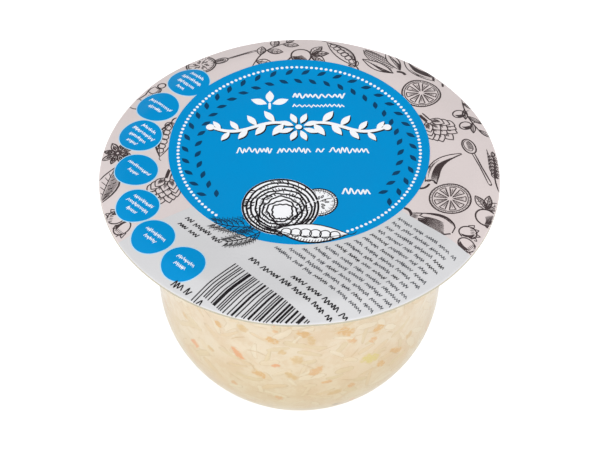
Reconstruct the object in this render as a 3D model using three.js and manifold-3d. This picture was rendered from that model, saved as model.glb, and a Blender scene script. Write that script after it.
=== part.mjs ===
// A round clear cup of coleslaw, shut with a printed film: millimetres, +Z up.
// The origin is the middle of the base, on the surface that the cup stands on.
import * as THREE from "three";
import { mergeVertices } from "three/addons/utils/BufferGeometryUtils.js";
import Module from "manifold-3d";

// Driving dimensions
const CUP_DIAMETER = 95; // over the flange
const PLASTIC = 0.6; // wall of the formed cup
const CLEARANCE = 0.3; // between neighbouring pieces

// The bowl: a tapered wall that runs into a large round bottom with a flat foot
const FLANGE_HEIGHT = 61.6; // top of the sealing land
const BELLY_RADIUS = 31.7; // of the round bottom's section
const BELLY_CENTRE_R = 2.8;
const BELLY_CENTRE_Z = 26.4;
const WALL_TAPER = THREE.MathUtils.degToRad(4);
const FOOT_FILLET = 3;
const LEAST_FILLET = 0.4; // what is left of that fillet on a surface well inside it
const PUSH_UP = 1; // the middle of the base is raised by this
const PUSH_UP_RADIUS = 13;
const PUSH_UP_SLOPE = 2; // width of the step from the raised middle down to the foot

// The flange: a flat sealing land, then a slope down to the cut edge
const LAND_OUTER_RADIUS = 41.4;
const SLOPE_DROP = 1.6; // from the land down to the edge
const FLANGE_FILLET = 1.2; // under the land, where the wall turns out
const EDGE_BREAK = PLASTIC / 3; // bevel on the cut edge

// The film
const FILM = 0.3;
const FILM_DIAMETER = 93.8;
const FILM_DIP = 0.25; // how deep the film sinks between the flat middle and the land
const DIP_INNER = 12; // the dip starts this far inside the bowl's mouth
const DIP_OUTER = 2.1; // and ends this far outside it, on the land

// The coleslaw
const HEADSPACE = 3; // between the film and the coleslaw
const CORE_DEPTH = 1.1; // the core lies this far behind the shreds' outer faces
const SHRED_COUNT = 84;
const SHRED_ROOT = 0.7; // how deep a shred is sunk in the core
const SHRED_LENGTH = [7, 19];
const SHRED_WIDTH = [1.5, 3.4];
const SHRED_LEAN = 1.1; // the most that a shred leans from level, in radians
const UPRIGHT_SHARE = 0.25; // of the shreds, turned a quarter turn from the rest
const SHRED_BEND = 0.9; // the most that a shred curves along its length, in radians
const SHRED_STATIONS = 4;
const SHRED_TAPER = 1.6; // how much narrower a shred is at its ends
const SHRED_SPREAD = 0.82; // under 1, because the bowl is narrower low down
const SHRED_SEED = 20;

// Facets
const AROUND = 56;
const CORE_AROUND = 40;
const BELLY_STEPS = 8;
const FILLET_STEPS = 3;
const INNER_CORNER_STEPS = 2;
const DIP_STEPS = 5;

const wasm = await Module();
wasm.setup();

/** Points of a round stretch of a profile, both ends included. */
function arc(centreR, centreZ, radius, from, to, steps) {
  return Array.from({ length: steps + 1 }, (_, i) => {
    const angle = from + ((to - from) * i) / steps;
    return new THREE.Vector2(
      centreR + radius * Math.cos(angle),
      centreZ + radius * Math.sin(angle),
    );
  });
}

/** A point of the belly's section, at an angle below level, `inset` inside the cup's outer face. */
function bellyPoint(angle, inset) {
  return new THREE.Vector2(
    BELLY_CENTRE_R + (BELLY_RADIUS - inset) * Math.cos(angle),
    BELLY_CENTRE_Z - (BELLY_RADIUS - inset) * Math.sin(angle),
  );
}

/** The tapered wall's radius at a height, for a surface `inset` inside the cup's outer face. */
function wallRadius(z, inset) {
  const foot = bellyPoint(WALL_TAPER, inset);
  return foot.x + (z - foot.y) * Math.tan(WALL_TAPER);
}

/** The fillet between the flat foot and the belly: its radius, centre and the angle where it ends. */
function footFillet(inset) {
  const radius = Math.max(FOOT_FILLET - inset, LEAST_FILLET);
  const reach = BELLY_RADIUS - inset - radius;
  const z = inset + radius;
  const angle = Math.asin((BELLY_CENTRE_Z - z) / reach);
  return { radius, r: BELLY_CENTRE_R + reach * Math.cos(angle), z, angle };
}

/** The bowl's section from the axis up to a height, `inset` inside the cup's outer face. */
function bowlSection(inset, top) {
  const fillet = footFillet(inset);
  const round = arc(fillet.r, fillet.z, fillet.radius, -Math.PI / 2, -fillet.angle, FILLET_STEPS);
  const belly = Array.from({ length: BELLY_STEPS }, (_, i) =>
    bellyPoint(
      THREE.MathUtils.lerp(fillet.angle, WALL_TAPER, (i + 1) / BELLY_STEPS),
      inset,
    ),
  );
  return [
    new THREE.Vector2(0, PUSH_UP + inset),
    new THREE.Vector2(PUSH_UP_RADIUS, PUSH_UP + inset),
    new THREE.Vector2(PUSH_UP_RADIUS + PUSH_UP_SLOPE, inset),
    ...round,
    ...belly,
    new THREE.Vector2(wallRadius(top, inset), top),
  ];
}

/** A lathed geometry about +Z, from a profile that starts and ends on the axis or closes on itself. */
function lathe(profile, sides) {
  return new THREE.LatheGeometry(profile, sides).rotateX(Math.PI / 2);
}

/** A three.js geometry as a manifold-3d solid. */
function solidFrom(geometry) {
  const bare = geometry.clone();
  bare.deleteAttribute("normal");
  bare.deleteAttribute("uv");
  const merged = mergeVertices(bare, 1e-3);
  return new wasm.Manifold(
    new wasm.Mesh({
      numProp: 3,
      vertProperties: merged.attributes.position.array,
      triVerts: new Uint32Array(merged.index.array),
    }),
  );
}

/** A three.js geometry from a flat list of coordinates and its triangles. */
function geometryOf(coordinates, triangles) {
  const geometry = new THREE.BufferGeometry();
  geometry.setAttribute("position", new THREE.BufferAttribute(coordinates, 3));
  geometry.setIndex(new THREE.BufferAttribute(triangles, 1));
  return geometry;
}

/** A manifold-3d solid as a three.js geometry. */
function geometryFrom(solid) {
  const mesh = solid.getMesh();
  const geometry = geometryOf(mesh.vertProperties, mesh.triVerts);
  geometry.computeVertexNormals();
  return geometry;
}

/** The clear cup: bowl, sealing land and sloping flange, one thin wall. */
function cupGeometry() {
  const rim = CUP_DIAMETER / 2;
  const land = FLANGE_HEIGHT;
  const edge = land - SLOPE_DROP;
  const outerWallTop = land - PLASTIC - FLANGE_FILLET;
  const outer = bowlSection(0, outerWallTop);
  const outerCorner = arc(
    outer.at(-1).x + FLANGE_FILLET,
    outerWallTop,
    FLANGE_FILLET,
    Math.PI,
    Math.PI / 2,
    FILLET_STEPS,
  ).slice(1);
  const flange = [
    new THREE.Vector2(LAND_OUTER_RADIUS, land - PLASTIC),
    new THREE.Vector2(rim, edge - PLASTIC),
    new THREE.Vector2(rim, edge - EDGE_BREAK),
    new THREE.Vector2(rim - EDGE_BREAK, edge),
    new THREE.Vector2(LAND_OUTER_RADIUS, land),
  ];
  const innerFillet = FLANGE_FILLET - PLASTIC;
  const inner = bowlSection(PLASTIC, land - innerFillet).reverse();
  const innerCorner = arc(
    inner[0].x + innerFillet,
    land - innerFillet,
    innerFillet,
    Math.PI / 2,
    Math.PI,
    INNER_CORNER_STEPS,
  ).slice(0, -1);
  return lathe([...outer, ...outerCorner, ...flange, ...innerCorner, ...inner], AROUND);
}

/** The film: flat over the bowl, a shallow dip inside the land, then down over the flange's slope. */
function lidGeometry() {
  const lower = FLANGE_HEIGHT + CLEARANCE;
  const edge = FILM_DIAMETER / 2;
  const slope = SLOPE_DROP / (CUP_DIAMETER / 2 - LAND_OUTER_RADIUS);
  const edgeDrop = slope * (edge - LAND_OUTER_RADIUS);
  const mouth = wallRadius(FLANGE_HEIGHT, PLASTIC);
  const dip = Array.from({ length: DIP_STEPS + 1 }, (_, i) => {
    const t = i / DIP_STEPS;
    const r = THREE.MathUtils.lerp(mouth - DIP_INNER, mouth + DIP_OUTER, t);
    return [r, -FILM_DIP * Math.sin(Math.PI * t) ** 2];
  });
  const skin = [[0, 0], ...dip, [LAND_OUTER_RADIUS, 0], [edge, -edgeDrop]];
  const under = skin.map(([r, dz]) => new THREE.Vector2(r, lower + dz));
  const over = skin.map(([r, dz]) => new THREE.Vector2(r, lower + FILM + dz));
  return lathe([...under, ...over.reverse()], AROUND);
}

/** A seeded draw between two bounds. */
function drawer(seed) {
  let state = seed;
  return (low, high) => {
    state = (state * 1664525 + 1013904223) % 4294967296;
    return low + ((high - low) * state) / 4294967296;
  };
}

/** The length of the wall's section over the belly, measured from the foot's fillet. */
function bellyLength() {
  return BELLY_RADIUS * (footFillet(0).angle - WALL_TAPER);
}

/** The length of the wall's section from the foot's fillet up to a height. */
function sectionLength(top) {
  return bellyLength() + (top - bellyPoint(WALL_TAPER, 0).y) / Math.cos(WALL_TAPER);
}

/** The point at an azimuth and at a length up the wall's section, `inset` inside the outer face. */
function wallPoint(azimuth, length, inset) {
  const belly = bellyLength();
  const angle = footFillet(0).angle - Math.min(length, belly) / BELLY_RADIUS;
  const past = Math.max(length - belly, 0);
  const { x, y } = bellyPoint(angle, inset);
  const r = x + past * Math.sin(WALL_TAPER);
  const z = y + past * Math.cos(WALL_TAPER);
  return [r * Math.cos(azimuth), r * Math.sin(azimuth), z];
}

/**
 * One shred: a curved strip of four-sided section, pressed flat against the wall, narrow at its ends.
 * Each station has four corners: right outer, right inner, left outer, left inner.
 */
function shredGeometry({ azimuth, height, heading, length, width, bend, top }) {
  const outerInset = PLASTIC + CLEARANCE;
  const innerInset = outerInset + CORE_DEPTH + SHRED_ROOT;
  const [x0, y0] = wallPoint(azimuth, height, 0);
  const radius = Math.hypot(x0, y0);
  const corners = [];
  for (let i = 0; i < SHRED_STATIONS; i++) {
    const t = i / (SHRED_STATIONS - 1) - 0.5;
    const turn = heading + bend * t;
    const middle = heading + (bend * t) / 2;
    const half = (width / 2) * (1 - SHRED_TAPER * t * t);
    for (const side of [-half, half]) {
      const across = length * t * Math.cos(middle) - side * Math.sin(turn);
      const up = height + length * t * Math.sin(middle) + side * Math.cos(turn);
      const level = THREE.MathUtils.clamp(up, 0, top);
      const around = azimuth + across / radius;
      corners.push(wallPoint(around, level, outerInset), wallPoint(around, level, innerInset));
    }
  }
  const triangles = [0, 2, 3, 0, 3, 1];
  for (let first = 0; first < 4 * (SHRED_STATIONS - 1); first += 4) {
    const ring = [0, 1, 3, 2].map((k) => first + k);
    ring.forEach((a, k) => {
      const b = ring[(k + 1) % 4];
      triangles.push(a, b, b + 4, a, b + 4, a + 4);
    });
  }
  const last = 4 * (SHRED_STATIONS - 1);
  triangles.push(last, last + 3, last + 2, last, last + 1, last + 3);
  return geometryOf(new Float32Array(corners.flat()), new Uint32Array(triangles));
}

/** The shreds against the wall, spread evenly over it by the golden angle from the foot up. */
function shreds(top) {
  const draw = drawer(SHRED_SEED);
  const goldenAngle = Math.PI * (3 - Math.sqrt(5));
  const margin = SHRED_WIDTH[0];
  return Array.from({ length: SHRED_COUNT }, (_, i) => {
    const up = Math.pow((i + 0.5) / SHRED_COUNT, SHRED_SPREAD);
    const upright = draw(0, 1) < UPRIGHT_SHARE;
    return shredGeometry({
      azimuth: i * goldenAngle,
      height: THREE.MathUtils.lerp(margin, top - margin, up),
      heading: draw(-SHRED_LEAN, SHRED_LEAN) + (upright ? Math.PI / 2 : 0),
      length: draw(...SHRED_LENGTH),
      width: draw(...SHRED_WIDTH),
      bend: draw(-SHRED_BEND, SHRED_BEND),
      top,
    });
  });
}

/** The coleslaw: a core of dressing and, fused on it, the shreds that lie against the clear wall. */
function coleslawGeometry() {
  const level = FLANGE_HEIGHT + CLEARANCE - HEADSPACE;
  const core = bowlSection(PLASTIC + CLEARANCE + CORE_DEPTH, level);
  core.push(new THREE.Vector2(0, level));
  return geometryFrom(
    shreds(sectionLength(level)).reduce(
      (heap, shred) => heap.add(solidFrom(shred)),
      solidFrom(lathe(core, CORE_AROUND)),
    ),
  );
}

/** A named piece of the object with its own finish. */
function piece(name, geometry, finish) {
  const mesh = new THREE.Mesh(geometry, new THREE.MeshStandardMaterial(finish));
  mesh.name = name;
  return mesh;
}

const group = new THREE.Group();
group.add(
  piece("cup", cupGeometry(), {
    color: 0xe4e6de,
    roughness: 0.15,
    metalness: 0,
    transparent: true,
    opacity: 0.35,
  }),
  piece("coleslaw", coleslawGeometry(), {
    color: 0xead9bd,
    roughness: 0.5,
    metalness: 0,
  }),
  piece("lid", lidGeometry(), {
    color: 0xd9d3d6,
    roughness: 0.35,
    metalness: 0,
  }),
);

export default group;
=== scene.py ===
"""A sealed clear cup of coleslaw with a printed film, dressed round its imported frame.

Lengths are in metres, +Z is up, and the origin is the middle of the base. The film's print is laid out
on the film seen from above, X to the right and Y away from the reader, about the cup's axis.
"""

from __future__ import annotations

import logging
import math
from dataclasses import dataclass, field
from enum import Enum, IntEnum
from random import Random
from typing import Callable, Iterator, Sequence

import bpy
import numpy as np
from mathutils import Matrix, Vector

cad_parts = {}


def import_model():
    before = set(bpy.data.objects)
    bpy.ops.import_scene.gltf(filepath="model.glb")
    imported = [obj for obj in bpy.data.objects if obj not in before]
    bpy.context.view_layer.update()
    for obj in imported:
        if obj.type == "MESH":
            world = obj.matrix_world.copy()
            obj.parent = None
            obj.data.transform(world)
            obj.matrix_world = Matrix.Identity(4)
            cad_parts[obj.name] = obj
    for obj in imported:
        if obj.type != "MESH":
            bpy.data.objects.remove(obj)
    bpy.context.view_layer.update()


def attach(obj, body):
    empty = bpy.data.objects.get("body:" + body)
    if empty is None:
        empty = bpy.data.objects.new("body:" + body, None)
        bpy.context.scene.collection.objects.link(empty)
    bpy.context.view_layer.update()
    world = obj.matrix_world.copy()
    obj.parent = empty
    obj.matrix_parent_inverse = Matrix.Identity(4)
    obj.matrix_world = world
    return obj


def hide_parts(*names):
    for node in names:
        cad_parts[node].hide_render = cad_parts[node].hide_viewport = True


LOG = logging.getLogger("coleslaw")

MM = 0.001
MERGE_DISTANCE = 1e-7
GOLDEN_ANGLE = math.pi * (3 - math.sqrt(5))
LEAST_LENGTH = 1e-9
LEAST_RISE = 1e-12

Piece = bpy.types.Object
Material = bpy.types.Material
Tree = bpy.types.NodeTree
Socket = bpy.types.NodeSocket
Point = tuple[float, float]
Colour = tuple[float, float, float, float]
Mesh = tuple[np.ndarray, list[tuple[int, ...]]]

WHITE: Colour = (1.0, 1.0, 1.0, 1.0)


class Slot(Enum):
    """The record's material slots."""

    CLEAR_PLASTIC = "clear_plastic"
    COLESLAW = "coleslaw"
    PRINTED_FILM = "printed_film"


class Layer(IntEnum):
    """How many ink layers lie under the top of a printed piece, counted up from the film."""

    GROUND = 1
    PATTERN = 2
    FIELD = 3
    RING = 4
    DISC = 5
    SHADOW = 6
    FILL = 7
    OUTLINE = 8


def srgb(red: int, green: int, blue: int) -> Colour:
    """A display colour as linear light.

    Args:
        red: 0 to 255.
        green: 0 to 255.
        blue: 0 to 255.

    Returns:
        The linear colour with full alpha.
    """
    linear = [
        c / 12.92 if c <= 0.04045 else ((c + 0.055) / 1.055) ** 2.4
        for c in (red / 255, green / 255, blue / 255)
    ]
    return (linear[0], linear[1], linear[2], 1.0)


# ---------------------------------------------------------------- mesh tools


def pick_only(piece: Piece) -> None:
    """Selects one object alone and makes it active.

    Args:
        piece: The object.
    """
    bpy.ops.object.select_all(action="DESELECT")
    piece.select_set(True)
    bpy.context.view_layer.objects.active = piece


def tidy_shell(piece: Piece) -> None:
    """Merges a shell's doubles, drops its loose edges and turns its faces outwards.

    Args:
        piece: The shell.
    """
    pick_only(piece)
    bpy.ops.object.mode_set(mode="EDIT")
    bpy.ops.mesh.select_all(action="SELECT")
    bpy.ops.mesh.remove_doubles(threshold=MERGE_DISTANCE)
    bpy.ops.mesh.delete_loose(use_verts=True, use_edges=True)
    bpy.ops.mesh.select_all(action="SELECT")
    bpy.ops.mesh.normals_make_consistent(inside=False)
    bpy.ops.object.mode_set(mode="OBJECT")


def shade_smooth(piece: Piece, angle: float = math.radians(35)) -> None:
    """Shades a piece smooth, with edges sharper than the angle left crisp."""
    pick_only(piece)
    bpy.ops.object.shade_smooth_by_angle(angle=angle)


def revolved(name: str, profile: Sequence[Point], steps: int) -> Piece:
    """A closed body spun about +Z.

    Args:
        name: The piece's name.
        profile: Radius and height of each corner of its section, round the section once.
        steps: How many steps the full turn takes.

    Returns:
        The new object.
    """
    bpy.ops.object.select_all(action="DESELECT")
    bpy.ops.mesh.primitive_circle_add(vertices=len(profile), radius=1.0, fill_type="NOTHING")
    piece = bpy.context.object
    piece.name = piece.data.name = name
    for vertex, (radius, height) in zip(piece.data.vertices, profile):
        vertex.co = (radius, 0.0, height)
    bpy.ops.object.mode_set(mode="EDIT")
    bpy.ops.mesh.select_all(action="SELECT")
    bpy.ops.mesh.spin(steps=steps, angle=math.tau, center=(0, 0, 0), axis=(0, 0, 1))
    bpy.ops.object.mode_set(mode="OBJECT")
    tidy_shell(piece)
    return piece


def mesh_piece(name: str, parts: Sequence[Mesh]) -> Piece:
    """One object that holds many small closed meshes.

    Args:
        name: The piece's name.
        parts: Each part's vertices and faces.

    Returns:
        The new object.
    """
    vertices: list[np.ndarray] = []
    faces: list[tuple[int, ...]] = []
    first = 0
    for points, polygons in parts:
        vertices.append(points)
        faces.extend(tuple(first + k for k in polygon) for polygon in polygons)
        first += len(points)
    mesh = bpy.data.meshes.new(name)
    mesh.from_pydata(np.concatenate(vertices).tolist(), [], faces)
    mesh.validate()
    piece = bpy.data.objects.new(name, mesh)
    bpy.context.scene.collection.objects.link(piece)
    return piece


def reshape(piece: Piece, change: Callable[[np.ndarray], np.ndarray]) -> None:
    """Moves a piece's vertices.

    Args:
        piece: The piece.
        change: Takes all its points, one a row, and returns their new places.
    """
    flat = np.empty(len(piece.data.vertices) * 3)
    piece.data.vertices.foreach_get("co", flat)
    piece.data.vertices.foreach_set("co", change(flat.reshape(-1, 3)).ravel())
    piece.data.update()


def finish_piece(piece: Piece, material: Material, node: str | None = None) -> None:
    """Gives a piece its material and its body.

    Args:
        piece: The piece.
        material: What it is made of.
        node: The frame's node that it stands for, if it stands for one.
    """
    piece.data.materials.clear()
    piece.data.materials.append(material)
    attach(piece, "root")
    if node:
        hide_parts(node)
    LOG.info("%s: %d faces", piece.name, len(piece.data.polygons))


# ---------------------------------------------------------------- node tools


class Nodes:
    """Adds and links the nodes of one tree."""

    def __init__(self, tree: Tree) -> None:
        """Starts on a tree, which is emptied."""
        self.tree = tree
        tree.nodes.clear()

    def add(self, kind: str, **settings: object) -> bpy.types.Node:
        """A new node.

        Args:
            kind: The node's type, without the word ShaderNode before it.
            settings: Properties to set on it.

        Returns:
            The node.
        """
        node = self.tree.nodes.new(kind if kind.startswith("Node") else f"ShaderNode{kind}")
        for name, value in settings.items():
            setattr(node, name, value)
        return node

    def fed(self, kind: str, values: dict[str | int, object], **settings: object) -> bpy.types.Node:
        """A new node with its inputs fed.

        Args:
            kind: The node's type, as add takes it.
            values: Each input's socket or plain value.
            settings: Properties to set on it.

        Returns:
            The node.
        """
        node = self.add(kind, **settings)
        for name, value in values.items():
            self.feed(node, name, value)
        return node

    def feed(self, node: bpy.types.Node, name: str | int, value: object) -> None:
        """Links a socket to an input, or sets the input to a plain value.

        Args:
            node: The node.
            name: The input's name or number.
            value: The socket or the plain value.
        """
        if isinstance(value, Socket):
            self.tree.links.new(value, node.inputs[name])
        else:
            node.inputs[name].default_value = value

    def close(self, shader: bpy.types.Node, kind: str = "OutputMaterial") -> None:
        """Ends the tree with a shader, in a material's output or a world's."""
        self.fed(kind, {0: shader.outputs[0]})

    def math(self, operation: str, first: object, second: object = 0.0) -> Socket:
        """The result of a Math node."""
        return self.fed("Math", {0: first, 1: second}, operation=operation).outputs[0]

    def mix(self, share: object, first: object, second: object, blend: str = "MIX") -> Socket:
        """A mix of two colours."""
        inputs = {0: share, 6: first, 7: second}
        return self.fed("Mix", inputs, data_type="RGBA", blend_type=blend).outputs[2]

    def span(self, value: object, low: float, high: float) -> Socket:
        """A value mapped smoothly from low..high to 0..1."""
        return self.fed("MapRange", {0: value, 1: low, 2: high}, interpolation_type="SMOOTHSTEP").outputs[0]

    def noise(self, scale: object, detail: float = 2.0) -> Socket:
        """A noise value from 0 to 1.

        Args:
            scale: Cells a metre.
            detail: Octaves.

        Returns:
            The noise's value.
        """
        return self.fed("TexNoise", {"Scale": scale, "Detail": detail, "Vector": self.place()}).outputs[0]

    def place(self) -> Socket:
        """The point in the piece's own frame."""
        return self.add("TexCoord").outputs["Object"]

    def group(self, tree: Tree, **values: object) -> bpy.types.Node:
        """A node group put in place with its own values.

        Args:
            tree: The group.
            values: Each input's value, named in small letters with underscores.

        Returns:
            The node.
        """
        node = self.add("Group")
        node.node_tree = tree
        for name, value in values.items():
            self.feed(node, name.replace("_", " ").title(), value)
        return node


def new_material(name: str) -> tuple[Material, Nodes]:
    """An empty material and its nodes.

    Args:
        name: Its name.

    Returns:
        The material and its nodes.
    """
    material = bpy.data.materials.new(name)
    material.use_nodes = True
    return material, Nodes(material.node_tree)


def new_group(
    name: str, inputs: dict[str, tuple[str, object]], outputs: dict[str, str]
) -> tuple[Tree, Nodes, bpy.types.Node, bpy.types.Node]:
    """A shader node group with named sockets.

    Args:
        name: The group's name.
        inputs: Each input's socket type and default value.
        outputs: Each output's socket type.

    Returns:
        The group, its nodes, its input node and its output node.
    """
    tree = bpy.data.node_groups.new(name, "ShaderNodeTree")
    for title, (kind, value) in inputs.items():
        socket = tree.interface.new_socket(title, in_out="INPUT", socket_type=f"NodeSocket{kind}")
        socket.default_value = value
    for title, kind in outputs.items():
        tree.interface.new_socket(title, in_out="OUTPUT", socket_type=f"NodeSocket{kind}")
    nodes = Nodes(tree)
    return tree, nodes, nodes.add("NodeGroupInput"), nodes.add("NodeGroupOutput")


# ---------------------------------------------------------------- finishes


@dataclass(frozen=True)
class Mottle:
    """Soft light and dark blotches at two scales, as in anything creamy or printed."""

    broad_share: float = 0.6
    fine_share: float = 0.4
    edges: tuple[float, float] = (0.40, 0.62)

    def build(self) -> Tree:
        """Builds the node group: a colour in, the same colour varied out.

        Returns:
            The group.
        """
        tree, nodes, given, result = new_group(
            "Mottle",
            {
                "Color": ("Color", (0.8, 0.8, 0.8, 1.0)),
                "Dark": ("Color", (0.7, 0.7, 0.7, 1.0)),
                "Broad Scale": ("Float", 100.0),
                "Fine Scale": ("Float", 600.0),
                "Amount": ("Float", 0.5),
            },
            {"Color": "Color", "Mask": "Float"},
        )
        broad = nodes.math("MULTIPLY", nodes.noise(given.outputs["Broad Scale"]), self.broad_share)
        fine = nodes.math("MULTIPLY", nodes.noise(given.outputs["Fine Scale"], 3.0), self.fine_share)
        mask = nodes.span(nodes.math("ADD", broad, fine), *self.edges)
        share = nodes.math("MULTIPLY", mask, given.outputs["Amount"])
        nodes.feed(result, "Color", nodes.mix(share, given.outputs["Color"], given.outputs["Dark"]))
        nodes.feed(result, "Mask", mask)
        return tree


@dataclass(frozen=True)
class HeightDeepening:
    """A deeper, yellower tone low in the cup."""

    tint: Colour = (0.82, 0.78, 0.62, 1.0)
    low: float = 6 * MM
    high: float = 40 * MM

    def build(self) -> Tree:
        """Builds the node group: a colour in, the same colour deepened by height out.

        Returns:
            The group.
        """
        tree, nodes, given, result = new_group(
            "HeightDeepening", {"Color": ("Color", (0.8, 0.8, 0.8, 1.0))}, {"Color": "Color"}
        )
        height = nodes.fed("SeparateXYZ", {0: nodes.place()}).outputs["Z"]
        tone = nodes.mix(nodes.span(height, self.low, self.high), self.tint, WHITE)
        nodes.feed(result, "Color", nodes.mix(1.0, given.outputs["Color"], tone, "MULTIPLY"))
        return tree


@dataclass(frozen=True)
class ClearPlasticFinish:
    """Clear formed plastic that lets lamps through to the food, darkened towards its grazing edges partly by
    painted shade.
    """

    colour: Colour = srgb(251, 252, 249)
    # Towards grazing edges the colour turns a dark warm grey. This is partly the plastic's own tint over its
    # longer path there, and partly painted shade for the dark line along the wall's outline.
    edge_tint_and_shade: Colour = srgb(218, 210, 190)
    edge_blend: float = 0.25
    edge_span: tuple[float, float] = (0.5, 0.85)
    roughness: float = 0.04
    haze_scale: float = 300.0
    haze_span: tuple[float, float] = (0.3, 0.8)
    ior: float = 1.46

    def build(self) -> Material:
        """Builds the plastic, which casts only a faint shadow.

        Returns:
            The material.
        """
        material, nodes = new_material("clear_plastic")
        facing = nodes.fed("LayerWeight", {"Blend": self.edge_blend}).outputs["Facing"]
        # Painted edge shade, mixed into the plastic's colour by how squarely it faces the viewer.
        tint = nodes.mix(nodes.span(facing, *self.edge_span), self.colour, self.edge_tint_and_shade)
        haze = nodes.span(nodes.noise(self.haze_scale, 3.0), *self.haze_span)
        glass = nodes.fed(
            "BsdfPrincipled",
            {
                "Base Color": tint,
                "Metallic": 0.0,
                "Transmission Weight": 1.0,
                "IOR": self.ior,
                "Roughness": nodes.math("MULTIPLY", haze, self.roughness),
            },
        )
        clear = nodes.fed("BsdfTransparent", {"Color": self.colour})
        shadow = nodes.add("LightPath").outputs["Is Shadow Ray"]
        nodes.close(nodes.fed("MixShader", {0: shadow, 1: glass.outputs[0], 2: clear.outputs[0]}))
        return material


@dataclass(frozen=True)
class DressingFinish:
    """Cream dressing, soft and moist, with pale blotches of cabbage just under it."""

    mottle: Tree
    height_deepening: Tree
    cream: Colour = srgb(237, 223, 202)
    shade: Colour = srgb(229, 208, 178)
    straw: Colour = srgb(231, 204, 172)
    straw_scale: float = 75.0
    straw_share: float = 0.4
    straw_span: tuple[float, float] = (0.5, 0.72)
    broad_scale: float = 160.0
    fine_scale: float = 700.0
    amount: float = 0.8
    roughness: float = 0.45
    bump: float = 0.15
    bump_depth: float = 0.2 * MM
    bump_scale: float = 900.0

    def deepened_by_height(self, nodes: Nodes, colour: Socket) -> Socket:
        """A colour that deepens towards the bottom."""
        return nodes.group(self.height_deepening, color=colour).outputs["Color"]

    def colour(self, nodes: Nodes) -> Socket:
        """The dressing's varied colour, which the shreds' edges fade into as well.

        Args:
            nodes: The tree that it is built in.

        Returns:
            The colour's socket.
        """
        group = nodes.group(
            self.mottle,
            color=self.cream,
            dark=self.shade,
            broad_scale=self.broad_scale,
            fine_scale=self.fine_scale,
            amount=self.amount,
        )
        patches = nodes.span(nodes.noise(self.straw_scale), *self.straw_span)
        share = nodes.math("MULTIPLY", patches, self.straw_share)
        return nodes.mix(share, group.outputs["Color"], self.straw)

    def build(self) -> Material:
        """Builds the dressing with its fine unevenness.

        Returns:
            The material.
        """
        material, nodes = new_material("dressing")
        relief = {
            "Strength": self.bump,
            "Distance": self.bump_depth,
            "Height": nodes.noise(self.bump_scale, 3.0),
        }
        shader = nodes.fed(
            "BsdfPrincipled",
            {
                "Base Color": self.deepened_by_height(nodes, self.colour(nodes)),
                "Roughness": self.roughness,
                "Normal": nodes.fed("Bump", relief).outputs[0],
            },
        )
        nodes.close(shader)
        return material


@dataclass(frozen=True)
class ShredFinish:
    """Cut vegetable whose edges run out into the dressing that coats it."""

    name: str
    tones: tuple[Colour, ...]
    rim: Colour
    strength: float
    patchy: float = 0.5
    grain: float = 850.0
    core: tuple[float, float] = (0.25, 0.9)
    fade: tuple[float, float] = (0.0, 0.95)
    blotch_strength: float = 2.6
    roughness: float = 0.4

    def build(self, dressing: DressingFinish) -> Material:
        """Builds the material, which reads the shred's own tone and cover.

        Args:
            dressing: What coats the shreds.

        Returns:
            The material.
        """
        material, nodes = new_material(self.name)
        tone = nodes.add("Attribute", attribute_name="tone").outputs["Fac"]
        cover = nodes.add("Attribute", attribute_name="cover").outputs["Fac"]
        ramp = nodes.fed("ValToRGB", {0: tone})
        stops = ramp.color_ramp.elements
        while len(stops) < len(self.tones):
            stops.new(1.0)
        ramp.color_ramp.interpolation = "CONSTANT"
        for k, colour in enumerate(self.tones):
            stops[k].position = k / len(self.tones)
            stops[k].color = colour
        blotch = nodes.math("SUBTRACT", nodes.noise(self.grain, 3.0), 0.5)
        worn = nodes.math("ADD", cover, nodes.math("MULTIPLY", blotch, self.blotch_strength * self.patchy))
        flesh = nodes.mix(nodes.span(worn, *self.core), self.rim, ramp.outputs[0])
        share = nodes.math("MULTIPLY", nodes.span(worn, *self.fade), self.strength)
        coated = dressing.deepened_by_height(nodes, nodes.mix(share, dressing.colour(nodes), flesh))
        nodes.close(nodes.fed("BsdfPrincipled", {"Base Color": coated, "Roughness": self.roughness}))
        return material


@dataclass(frozen=True)
class PrintFinish:
    """An area of printing ink on film, with the slight unevenness of a real print."""

    name: str
    mottle: Tree
    ink: Colour
    worn: Colour
    broad_scale: float = 90.0
    fine_scale: float = 2500.0
    amount: float = 0.5
    roughness: float = 0.38
    rougher: float = 1.25
    specular: float = 0.12

    def build(self) -> Material:
        """Builds the ink, a little rougher where it is worn.

        Returns:
            The material.
        """
        material, nodes = new_material(self.name)
        group = nodes.group(
            self.mottle,
            color=self.ink,
            dark=self.worn,
            broad_scale=self.broad_scale,
            fine_scale=self.fine_scale,
            amount=self.amount,
        )
        gloss = {0: group.outputs["Mask"], 3: self.roughness, 4: self.roughness * self.rougher}
        shader = nodes.fed(
            "BsdfPrincipled",
            {
                "Base Color": group.outputs["Color"],
                "Roughness": nodes.fed("MapRange", gloss).outputs[0],
                "Specular IOR Level": self.specular,
            },
        )
        nodes.close(shader)
        return material


# ---------------------------------------------------------------- the cup and the coleslaw


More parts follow.
